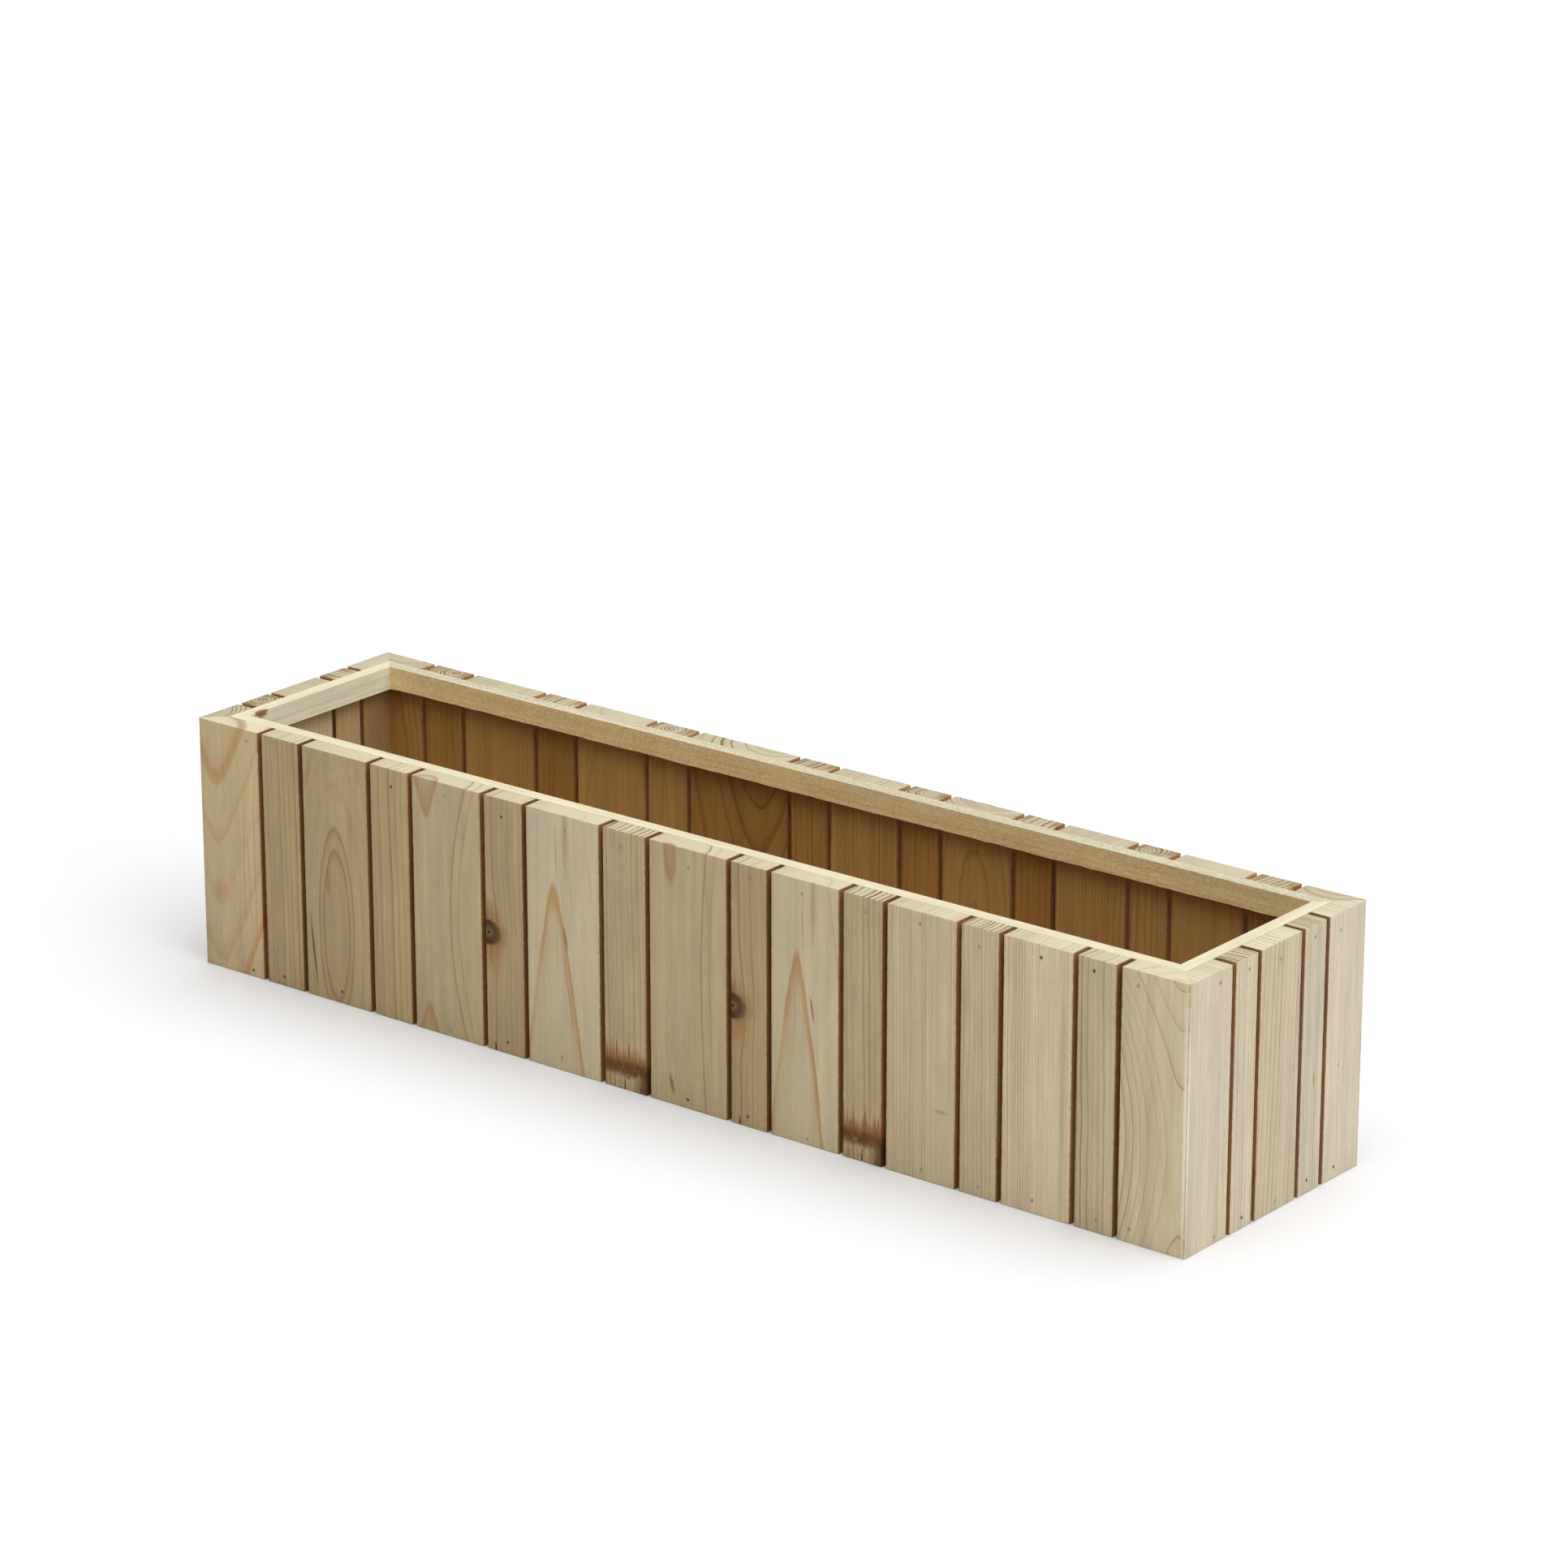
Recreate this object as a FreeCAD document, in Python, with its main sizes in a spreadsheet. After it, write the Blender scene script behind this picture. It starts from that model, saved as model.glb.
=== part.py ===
# Window box planter: a long open box of upright sawn slats. The slats are nailed to a mitred ring
# of battens flush with the top edge and to a second ring at the bottom. A floor of three boards,
# with drainage gaps between them, lies on the bottom ring and on two cross battens.
# Millimetres, +Z up, +X along the front, -Y towards the viewer. The origin is on the ground, under
# the middle of the box.
import FreeCAD, Part
import math
import os
import Sketcher

# Driving dimensions. Every other size and place in the box is worked out from these.
SIZES = {
    "box_height": 217.0,          # length that every slat is sawn to
    "slat_thickness": 18.0,
    "slat_gap": 4.0,              # open joint between two slats
    "edge_easing": 0.8,           # small bevel along the long outer edges of a slat
    "rail_width": 12.0,           # ring batten, across its top face
    "rail_height": 20.0,
    "batten_width": 20.0,         # cross batten under the floor
    "floor_thickness": 12.0,
    "floor_clearance": 1.0,       # between the floor boards and the slats round them
    "drain_gap": 8.0,             # between two floor boards
    "wall_nail_length": 28.0,
    "floor_nail_length": 20.0,    # short enough to end above the nails that come in from the walls
    "nail_shank": 1.6,            # diameter
    "nail_head": 2.6,             # diameter
    "nail_head_depth": 0.8,
    "nail_tip": 2.4,              # length of the point
    "top_nail_drop": 12.5,        # upper nails, below the top edge
    "bottom_nail_rise": 8.0,      # lower nails, above the ground
    "nail_wander": 3.0,           # how far a nail strays from its line
    "corner_nail_edge": 13.0,     # nail of a corner slat, from the edge away from the corner
    "floor_nail_edge": 16.0,      # floor nails, from a board's long edges
}

# The cut list of the slats. Wide and narrow boards alternate, and few are quite equal. The front's,
# from left to right, set the length of the box. The right end's, from front to back, set its depth.
FRONT_SLAT_WIDTHS = {
    "front_slat_01_width": 67.0,
    "front_slat_02_width": 41.5,
    "front_slat_03_width": 71.5,
    "front_slat_04_width": 41.5,
    "front_slat_05_width": 73.5,
    "front_slat_06_width": 40.5,
    "front_slat_07_width": 76.0,
    "front_slat_08_width": 43.5,
    "front_slat_09_width": 78.0,
    "front_slat_10_width": 36.0,
    "front_slat_11_width": 66.5,
    "front_slat_12_width": 38.0,
    "front_slat_13_width": 66.0,
    "front_slat_14_width": 35.5,
    "front_slat_15_width": 64.0,
    "front_slat_16_width": 35.5,
    "front_slat_17_width": 61.5,
}
RIGHT_SLAT_WIDTHS = {
    "right_slat_1_width": 54.5,
    "right_slat_2_width": 29.0,
    "right_slat_3_width": 54.0,
    "right_slat_4_width": 29.0,
    "right_slat_5_width": 49.5,
}
# The back and the left end are as long as the walls opposite them. One slat of each isn't listed: it
# is sawn to the width that the others leave. The back's run the same way as the front's, from left
# to right as seen from the front.
BACK_SLAT_WIDTHS = {
    "back_slat_01_width": 55.0,
    "back_slat_02_width": 41.0,
    "back_slat_03_width": 77.0,
    "back_slat_04_width": 41.0,
    "back_slat_05_width": 73.0,
    "back_slat_06_width": 41.0,
    "back_slat_08_width": 37.0,
    "back_slat_09_width": 68.0,
    "back_slat_10_width": 37.0,
    "back_slat_11_width": 68.0,
    "back_slat_12_width": 35.5,
    "back_slat_13_width": 67.0,
    "back_slat_14_width": 35.5,
    "back_slat_15_width": 67.0,
    "back_slat_16_width": 37.0,
    "back_slat_17_width": 54.0,
}
LEFT_SLAT_WIDTHS = {
    "left_slat_1_width": 47.0,
    "left_slat_2_width": 31.5,
    "left_slat_4_width": 30.5,
    "left_slat_5_width": 51.5,
}

FLOOR_BOARDS = 3
NAIL_STRIDE = 2.4                 # radians from one nail to the next in the wander of the nails

# Each wall has a frame of its own: a starting corner of the box, given by its signs along X and Y,
# and the turn about Z that lays the wall's run along the wall, as seen from outside the box. The cut
# lists of the back and the left end run the other way.
WALLS = {
    "front": {"corner": (-1, -1), "turn": 0, "opposite": False},
    "back": {"corner": (1, 1), "turn": 180, "opposite": True},
    "left": {"corner": (-1, 1), "turn": 270, "opposite": True},
    "right": {"corner": (1, -1), "turn": 90, "opposite": False},
}
RUNS = {
    "front": {"widths": list(FRONT_SLAT_WIDTHS), "total": "box_length", "filler": ""},
    "right": {"widths": list(RIGHT_SLAT_WIDTHS), "total": "box_depth", "filler": ""},
    "back": {
        "widths": sorted([*BACK_SLAT_WIDTHS, "back_slat_07_width"]),
        "total": "box_length",
        "filler": "back_slat_07_width",
    },
    "left": {
        "widths": sorted([*LEFT_SLAT_WIDTHS, "left_slat_3_width"]),
        "total": "box_depth",
        "filler": "left_slat_3_width",
    },
}

doc = FreeCAD.newDocument("window_box_planter")


# ---------------------------------------------------------------- spreadsheets

def width_name(wall, index):
    return RUNS[wall]["widths"][index]


def start_name(wall, index):
    return width_name(wall, index).replace("width", "start")


def width_cell(wall, index):
    """The cell with a slat's width: worked out for the slat that fills its wall, given for the rest."""
    name = width_name(wall, index)
    return f"Layout.{name}" if name == RUNS[wall]["filler"] else f"Sizes.{name}"


def total_cell(wall):
    return f"Layout.{RUNS[wall]['total']}"


def add_row(sheet, row, name, content):
    sheet.set(f"A{row}", name)
    sheet.set(f"B{row}", content)
    sheet.setAlias(f"B{row}", name)


def driving_sheet():
    sheet = doc.addObject("Spreadsheet::Sheet", "Sizes")
    sizes = {
        **SIZES,
        **FRONT_SLAT_WIDTHS,
        **RIGHT_SLAT_WIDTHS,
        **BACK_SLAT_WIDTHS,
        **LEFT_SLAT_WIDTHS,
    }
    for row, (name, size) in enumerate(sizes.items(), start=1):
        add_row(sheet, row, name, str(size))


def layout_sheet():
    """Places worked out from the driving dimensions, as formulas."""
    formulas = {}
    for wall, run in RUNS.items():
        widths = [width_cell(wall, index).replace("Layout.", "") for index in range(len(run["widths"]))]
        last = len(widths) - 1
        if run["filler"]:
            rest = " - ".join(width for width in widths if width != run["filler"])
            formulas[run["filler"]] = f"={run['total']} - {last} * Sizes.slat_gap - {rest}"
        formulas[start_name(wall, 0)] = "=0"
        for index in range(1, last + 1):
            before = start_name(wall, index - 1)
            formulas[start_name(wall, index)] = f"={before} + {widths[index - 1]} + Sizes.slat_gap"
        if not run["filler"]:
            formulas[run["total"]] = f"={start_name(wall, last)} + {widths[last]}"
    formulas["floor_length"] = "=box_length - 2 * (Sizes.slat_thickness + Sizes.floor_clearance)"
    formulas["floor_span"] = "=box_depth - 2 * (Sizes.slat_thickness + Sizes.floor_clearance)"
    gaps = FLOOR_BOARDS - 1
    formulas["floor_board_width"] = f"=(floor_span - {gaps} * Sizes.drain_gap) / {FLOOR_BOARDS}"
    formulas["ring_inset"] = "=Sizes.slat_thickness + Sizes.rail_width"
    formulas["batten_length"] = "=box_depth - 2 * ring_inset"
    formulas["batten_place"] = "=box_length / 6"
    sheet = doc.addObject("Spreadsheet::Sheet", "Layout")
    for row, (name, formula) in enumerate(formulas.items(), start=1):
        add_row(sheet, row, name, formula)
    return sheet


driving_sheet()
layout = layout_sheet()
doc.recompute()


# ---------------------------------------------------------------- helpers

def value(text):
    """The number that an expression gives."""
    return float(layout.evalExpression(text))


def bind(item, **expressions):
    for prop, text in expressions.items():
        item.setExpression(prop, text)


def bind_place(item, x, y, z):
    for axis, text in (("x", x), ("y", y), ("z", z)):
        item.setExpression(f"Placement.Base.{axis}", text)


def place_on_wall(item, wall, along, inward, up):
    """Turn an item into a wall's frame and tie its corner to expressions in that frame."""
    side = WALLS[wall]
    turn = math.radians(side["turn"])
    cos, sin = round(math.cos(turn)), round(math.sin(turn))
    item.Placement.Rotation = FreeCAD.Rotation(FreeCAD.Vector(0, 0, 1), side["turn"])
    x = f"{side['corner'][0]} * Layout.box_length / 2 + {cos} * ({along}) - {sin} * ({inward})"
    y = f"{side['corner'][1]} * Layout.box_depth / 2 + {sin} * ({along}) + {cos} * ({inward})"
    bind_place(item, x, y, up)


def outline_sketch(body, name, corners):
    """A closed outline on the body's XY plane, each corner tied to a pair of expressions."""
    sketch = body.newObject("Sketcher::SketchObject", name)
    ground = [plane for plane in body.Origin.OriginFeatures if plane.Role == "XY_Plane"][0]
    sketch.AttachmentSupport = [(ground, "")]
    sketch.MapMode = "FlatFace"
    points = [FreeCAD.Vector(value(x), value(y), 0) for x, y in corners]
    count = len(points)
    for index in range(count):
        sketch.addGeometry(Part.LineSegment(points[index], points[(index + 1) % count]), False)
    for index in range(count):
        after = (index + 1) % count
        sketch.addConstraint(Sketcher.Constraint("Coincident", index, 2, after, 1))
    for index, corner in enumerate(corners):
        for kind, text, axis in (("DistanceX", corner[0], -2), ("DistanceY", corner[1], -1)):
            if text == "0":
                sketch.addConstraint(Sketcher.Constraint("PointOnObject", index, 1, axis))
                continue
            rule = Sketcher.Constraint(kind, -1, 1, index, 1, value(text))
            number = sketch.addConstraint(rule)
            sketch.renameConstraint(number, f"{kind}_{index}")
            sketch.setExpression(f"Constraints.{kind}_{index}", text)
    return sketch


def padded_body(label, corners, height):
    """A board cut to an outline seen from above and standing to a height."""
    body = doc.addObject("PartDesign::Body", label)
    body.Label = label
    pad = body.newObject("PartDesign::Pad", f"{label}_pad")
    pad.Profile = outline_sketch(body, f"{label}_outline", corners)
    bind(pad, Length=height)
    body.Tip = pad
    return body


def nailed(blank, label, nails):
    """The board with its nail holes: a driven nail leaves a hole of exactly its own shape."""
    board = doc.addObject("Part::Cut", label)
    board.Label = label
    board.Base = blank
    board.Tool = nails
    return board


# ---------------------------------------------------------------- nails

def nail_body(label, nail_length):
    """One nail standing head down on the origin, a spun half profile."""
    body = doc.addObject("PartDesign::Body", label)
    sketch = body.newObject("Sketcher::SketchObject", f"{label}_profile")
    upright = [plane for plane in body.Origin.OriginFeatures if plane.Role == "XZ_Plane"][0]
    sketch.AttachmentSupport = [(upright, "")]
    sketch.MapMode = "FlatFace"
    head, shank = value("Sizes.nail_head / 2"), value("Sizes.nail_shank / 2")
    depth, length = value("Sizes.nail_head_depth"), value(nail_length)
    neck, shoulder = depth + head - shank, value(f"{nail_length} - Sizes.nail_tip")
    profile = [(0, 0), (head, 0), (head, depth), (shank, neck), (shank, shoulder), (0, length)]
    points = [FreeCAD.Vector(x, y, 0) for x, y in profile]
    for start, end in zip(points, points[1:] + points[:1]):
        sketch.addGeometry(Part.LineSegment(start, end), False)
    for line in range(len(points)):
        after = (line + 1) % len(points)
        sketch.addConstraint(Sketcher.Constraint("Coincident", line, 2, after, 1))
    sketch.addConstraint(Sketcher.Constraint("Coincident", 0, 1, -1, 1))
    sketch.addConstraint(Sketcher.Constraint("PointOnObject", 1, 1, -1))
    sketch.addConstraint(Sketcher.Constraint("Vertical", 1))
    sketch.addConstraint(Sketcher.Constraint("Vertical", 3))
    sketch.addConstraint(Sketcher.Constraint("PointOnObject", 5, 1, -2))
    rules = [
        ("DistanceX", 1, head, "Sizes.nail_head / 2"),
        ("DistanceY", 2, depth, "Sizes.nail_head_depth"),
        ("DistanceX", 3, shank, "Sizes.nail_shank / 2"),
        ("DistanceY", 3, neck, "Sizes.nail_head_depth + (Sizes.nail_head - Sizes.nail_shank) / 2"),
        ("DistanceY", 4, shoulder, f"{nail_length} - Sizes.nail_tip"),
        ("DistanceY", 5, length, nail_length),
    ]
    for kind, line, size, text in rules:
        number = sketch.addConstraint(Sketcher.Constraint(kind, -1, 1, line, 1, size))
        sketch.renameConstraint(number, f"{kind}_{line}")
        sketch.setExpression(f"Constraints.{kind}_{line}", text)
    spin = body.newObject("PartDesign::Revolution", f"{label}_spin")
    spin.Profile = sketch
    spin.ReferenceAxis = (sketch, ["V_Axis"])
    spin.Angle = 360
    body.Tip = spin
    return body


def wander(number):
    """How far along and across its line a nail is off: the same for each run of the model."""
    reach = value("Sizes.nail_wander")
    return reach * math.sin(NAIL_STRIDE * number), reach * math.cos(NAIL_STRIDE * number * number)


def slat_start(wall, index):
    """Expression for where a slat starts along its wall."""
    start = f"Layout.{start_name(wall, index)}"
    if WALLS[wall]["opposite"]:
        return f"{total_cell(wall)} - {start} - {width_cell(wall, index)}"
    return start


def end_slats(wall):
    """The slats at the two ends of a wall, in the order of the wall's own frame."""
    last = len(RUNS[wall]["widths"]) - 1
    return (last, 0) if WALLS[wall]["opposite"] else (0, last)


def nail_along(wall, index):
    """Where the nails of a slat stand along its wall: mid-width, but a corner slat's are set
    away from the corner, where they reach the ring."""
    start = value(slat_start(wall, index))
    width = value(width_cell(wall, index))
    edge = value("Sizes.corner_nail_edge")
    first_slat, last_slat = end_slats(wall)
    if index == first_slat:
        return start + width - edge
    if index == last_slat:
        return start + edge
    return start + width / 2


def nail_group(label, nail, places):
    """Identical nails in one group, each a solid of its own."""
    copies = []
    for place in places:
        copy = nail.Shape.copy()
        copy.Placement = place
        copies.append(copy)
    group = doc.addObject("Part::Feature", label)
    group.Label = label
    group.Shape = Part.makeCompound(copies)
    return group


def joined(label, groups):
    group = doc.addObject("Part::Compound", label)
    group.Label = label
    group.Links = groups
    return group


def nail_row(wall, level, height, first):
    """A row of nails along a wall, one through each slat, driven square to the wall."""
    side = WALLS[wall]
    turn = FreeCAD.Rotation(FreeCAD.Vector(0, 0, 1), side["turn"])
    drive = FreeCAD.Rotation(FreeCAD.Vector(0, 0, 1), FreeCAD.Vector(0, 1, 0))
    corner = FreeCAD.Vector(
        side["corner"][0] * value("Layout.box_length / 2"),
        side["corner"][1] * value("Layout.box_depth / 2"),
        value(height),
    )
    places = []
    for index in range(len(RUNS[wall]["widths"])):
        along, up = wander(first + index)
        offset = turn.multVec(FreeCAD.Vector(nail_along(wall, index) + along, 0, up))
        places.append(FreeCAD.Placement(corner + offset, turn.multiply(drive)))
    return nail_group(f"{wall}_{level}_nail_row", wall_nail, places)


def floor_nail_places():
    """Two nails through each floor board at the end rails and at the cross battens."""
    rail = value("Layout.box_length / 2 - Sizes.slat_thickness - Sizes.rail_width / 2")
    batten = value("Layout.batten_place")
    level = value("Sizes.rail_height + Sizes.floor_thickness")
    width = value("Layout.floor_board_width")
    edge = value("Sizes.floor_nail_edge")
    down = FreeCAD.Rotation(FreeCAD.Vector(1, 0, 0), 180)
    places = []
    for board in range(FLOOR_BOARDS):
        start = value(board_start(board))
        for x in (-rail, -batten, batten, rail):
            for y in (start + edge, start + width - edge):
                places.append(FreeCAD.Placement(FreeCAD.Vector(x, y, level), down))
    return places


# ---------------------------------------------------------------- boards

def slat_corners(width, left_mitre, right_mitre):
    """Outline of a slat from above: its outer face lies on X, and a mitre closes a box corner."""
    thick, ease = "Sizes.slat_thickness", "Sizes.edge_easing"
    corners = [(ease, "0"), (f"{width} - {ease}", "0")]
    if right_mitre:
        corners += [(f"{width} - {ease} / 2", f"{ease} / 2"), (f"{width} - {thick}", thick)]
    else:
        corners += [(width, ease), (width, thick)]
    if left_mitre:
        corners += [(thick, thick), (f"{ease} / 2", f"{ease} / 2")]
    else:
        corners += [("0", thick), ("0", ease)]
    return corners


def build_slats(wall, nails):
    first_slat, last_slat = end_slats(wall)
    slats = []
    for index, name in enumerate(RUNS[wall]["widths"]):
        label = name.removesuffix("_width")
        corners = slat_corners(width_cell(wall, index), index == first_slat, index == last_slat)
        blank = padded_body(f"{label}_blank", corners, "Sizes.box_height")
        place_on_wall(blank, wall, slat_start(wall, index), "0", "0")
        slats.append(nailed(blank, label, nails))
    return slats


def build_rail(wall, level, bottom, nails):
    """One side of a ring: a batten mitred at both ends, lying against the backs of the slats."""
    length = f"{total_cell(wall)} - 2 * Sizes.slat_thickness"
    width = "Sizes.rail_width"
    corners = [("0", "0"), (length, "0"), (f"{length} - {width}", width), (width, width)]
    label = f"{wall}_{level}_rail"
    blank = padded_body(f"{label}_blank", corners, "Sizes.rail_height")
    place_on_wall(blank, wall, "Sizes.slat_thickness", "Sizes.slat_thickness", bottom)
    return nailed(blank, label, nails)


def board_start(board):
    """Expression for the front edge of a floor board."""
    return f"{board} * (Layout.floor_board_width + Sizes.drain_gap) - Layout.floor_span / 2"


def plain_board(label, length, width, height, place, nails):
    blank = doc.addObject("Part::Box", f"{label}_blank")
    bind(blank, Length=length, Width=width, Height=height)
    bind_place(blank, *place)
    return nailed(blank, label, nails)


def build_floor():
    boards = []
    for board in range(FLOOR_BOARDS):
        place = ("-Layout.floor_length / 2", board_start(board), "Sizes.rail_height")
        size = ("Layout.floor_length", "Layout.floor_board_width", "Sizes.floor_thickness")
        boards.append(plain_board(f"floor_board_{board + 1}", *size, place, floor_nails))
    for name, sign in (("left", "-"), ("right", "+")):
        x = f"{sign}Layout.batten_place - Sizes.batten_width / 2"
        place = (x, "-Layout.batten_length / 2", "0")
        size = ("Sizes.batten_width", "Layout.batten_length", "Sizes.rail_height")
        boards.append(plain_board(f"floor_batten_{name}", *size, place, floor_nails))
    return boards


# ---------------------------------------------------------------- assembly

wall_nail = nail_body("wall_nail", "Sizes.wall_nail_length")
floor_nail = nail_body("floor_nail", "Sizes.floor_nail_length")
doc.recompute()

top_row = "Sizes.box_height - Sizes.top_nail_drop"
top_rail = "Sizes.box_height - Sizes.rail_height"
floor_nails = nail_group("floor_nails", floor_nail, floor_nail_places())
pieces = [floor_nails]
top_rows, bottom_rows = [], []
first = 0
for wall in WALLS:
    count = len(RUNS[wall]["widths"])
    top_rows.append(nail_row(wall, "top", top_row, first))
    bottom_rows.append(nail_row(wall, "bottom", "Sizes.bottom_nail_rise", first + count))
    first += 2 * count
    pieces += build_slats(wall, joined(f"{wall}_wall_nails", [top_rows[-1], bottom_rows[-1]]))
    lower_nails = bottom_rows[-1]
    if wall in ("left", "right"):
        lower_nails = joined(f"{wall}_rail_nails", [lower_nails, floor_nails])
    pieces.append(build_rail(wall, "top", top_rail, top_rows[-1]))
    pieces.append(build_rail(wall, "bottom", "0", lower_nails))
pieces.append(joined("top_nails", top_rows))
pieces.append(joined("bottom_nails", bottom_rows))
pieces += build_floor()
doc.recompute()

# ---------------------------------------------------------------- checks and export

for item in doc.Objects:
    if "Invalid" in item.State or "Error" in item.State:
        raise RuntimeError(f"{item.Label} failed: {item.State}")
for piece in pieces:
    shape = piece.Shape
    if shape.isNull() or not shape.isValid():
        raise RuntimeError(f"{piece.Label} has no valid shape")
    if piece.TypeId == "Part::Cut" and len(shape.Solids) != 1:
        raise RuntimeError(f"{piece.Label} has {len(shape.Solids)} solids")

os.makedirs("parts", exist_ok=True)
for piece in pieces:
    piece.Shape.exportStep(f"parts/{piece.Label}.step")
total = Part.makeCompound([piece.Shape for piece in pieces]).BoundBox
print(f"{len(pieces)} nodes, {total.XLength:.1f} x {total.YLength:.1f} x {total.ZLength:.1f} mm")
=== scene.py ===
import math

import bpy
from mathutils import Matrix, Vector


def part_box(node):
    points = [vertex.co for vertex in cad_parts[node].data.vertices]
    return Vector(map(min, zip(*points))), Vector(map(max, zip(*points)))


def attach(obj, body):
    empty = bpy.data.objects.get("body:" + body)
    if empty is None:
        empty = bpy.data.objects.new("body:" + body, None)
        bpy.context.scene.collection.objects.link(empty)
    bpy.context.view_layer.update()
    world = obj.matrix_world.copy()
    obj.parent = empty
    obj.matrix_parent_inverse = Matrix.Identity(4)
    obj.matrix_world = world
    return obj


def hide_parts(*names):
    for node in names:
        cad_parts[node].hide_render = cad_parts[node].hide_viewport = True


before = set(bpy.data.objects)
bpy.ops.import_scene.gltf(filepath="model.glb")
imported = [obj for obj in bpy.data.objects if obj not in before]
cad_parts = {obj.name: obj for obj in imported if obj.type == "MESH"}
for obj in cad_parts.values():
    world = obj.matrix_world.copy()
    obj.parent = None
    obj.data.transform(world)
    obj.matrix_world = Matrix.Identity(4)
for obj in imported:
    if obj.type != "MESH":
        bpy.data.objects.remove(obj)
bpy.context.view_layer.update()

millimetre = 0.001
perMetre = 1000     # mm
boxHeight = 217.0     # mm


# Small helpers for shader trees

class Value:
    # A socket that gives a value. Arithmetic on it adds Math nodes to its tree.
    def __init__(self, socket):
        self.socket = socket

    def __add__(self, other):
        return calc("ADD", self, other)

    def __radd__(self, other):
        return calc("ADD", other, self)

    def __sub__(self, other):
        return calc("SUBTRACT", self, other)

    def __rsub__(self, other):
        return calc("SUBTRACT", other, self)

    def __mul__(self, other):
        return calc("MULTIPLY", self, other)

    def __truediv__(self, other):
        return calc("DIVIDE", self, other)


def feed(socket, value):
    if isinstance(value, Value):
        socket.id_data.links.new(value.socket, socket)
    else:
        socket.default_value = value


def addNode(tree, kind, inputs, **settings):
    node = tree.nodes.new("ShaderNode" + kind)
    for title, setting in settings.items():
        setattr(node, title, setting)
    for key, value in inputs.items():
        feed(node.inputs[key], value)
    return node


def treeOf(*terms):
    return next(term.socket.id_data for term in terms if isinstance(term, Value))


def calc(work, *terms, clamp=False):
    node = addNode(treeOf(*terms), "Math", dict(enumerate(terms)), operation=work, use_clamp=clamp)
    return Value(node.outputs[0])


def vectorCalc(work, first, second):
    # Multiplies two vectors, scales one, or gives the dot product of two
    inputs = {0: first, "Scale" if work == "SCALE" else 1: second}
    node = addNode(treeOf(first), "VectorMath", inputs, operation=work)
    return Value(node.outputs["Value" if work == "DOT_PRODUCT" else "Vector"])


def ramp(value, low, high, start=0.0, end=1.0):
    inputs = dict(enumerate((value, low, high, start, end)))
    return Value(addNode(treeOf(value), "MapRange", inputs, interpolation_type="SMOOTHSTEP").outputs[0])


def noise(spot, scale, seed, detail=2.0, roughness=0.5):
    inputs = {"Vector": vectorCalc("MULTIPLY", spot, scale), "W": seed, "Scale": 1.0, "Detail": detail,
              "Roughness": roughness}
    return Value(addNode(treeOf(spot), "TexNoise", inputs, noise_dimensions="4D").outputs["Fac"])


def blend(share, first, second, kind="MIX"):
    inputs = {0: share, 6: first, 7: second}
    node = addNode(treeOf(share, first, second), "Mix", inputs, data_type="RGBA", blend_type=kind,
                   clamp_factor=True)
    return Value(node.outputs[2])


def parts(spot):
    return [Value(socket) for socket in addNode(treeOf(spot), "SeparateXYZ", {0: spot}).outputs]


def joined(*terms):
    return Value(addNode(treeOf(*terms), "CombineXYZ", dict(enumerate(terms))).outputs[0])


def newGroup(name, inputs, outputs):
    # Gives the new group, its inputs as values and the sockets of its outputs
    group = bpy.data.node_groups.new(name, "ShaderNodeTree")
    kinds = {float: "NodeSocketFloat", tuple: "NodeSocketColor", Vector: "NodeSocketVector"}
    for title, value in inputs.items():
        socket = group.interface.new_socket(title, in_out="INPUT", socket_type=kinds[type(value)])
        socket.default_value = value
    for title, kind in outputs.items():
        group.interface.new_socket(title, in_out="OUTPUT", socket_type=kinds[kind])
    given = {socket.name: Value(socket) for socket in group.nodes.new("NodeGroupInput").outputs}
    return group, given, group.nodes.new("NodeGroupOutput").inputs


def useGroup(tree, group, **inputs):
    node = addNode(tree, "Group", inputs, node_tree=group)
    return {socket.name: Value(socket) for socket in node.outputs}


def newMaterial(name):
    material = bpy.data.materials.new(name)
    material.use_nodes = True
    material.node_tree.nodes.clear()
    return material


def finishShader(tree, inputs, height, strength, distance):
    bump = addNode(tree, "Bump", {"Strength": strength, "Distance": distance, "Height": height})
    shader = addNode(tree, "BsdfPrincipled", {**inputs, "Normal": Value(bump.outputs[0])})
    addNode(tree, "OutputMaterial", {"Surface": Value(shader.outputs[0])})


def tint(red, green, blue):
    channels = [value / 255 for value in (red, green, blue)]
    linear = [c / 12.92 if c <= 0.04045 else ((c + 0.055) / 1.055) ** 2.4 for c in channels]
    return (*linear, 1.0)


def shaded(colour, gain):
    return (*[channel * gain for channel in colour[:3]], 1.0)


# Shader groups. A board's place is in mm: across from its left edge as seen from outside,
# depth from its outer face, and down from its top end.

origin = Vector((0, 0, 0))
lineShare = 0.92     # where a ring's dark line ends, as a share of the ring


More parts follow.
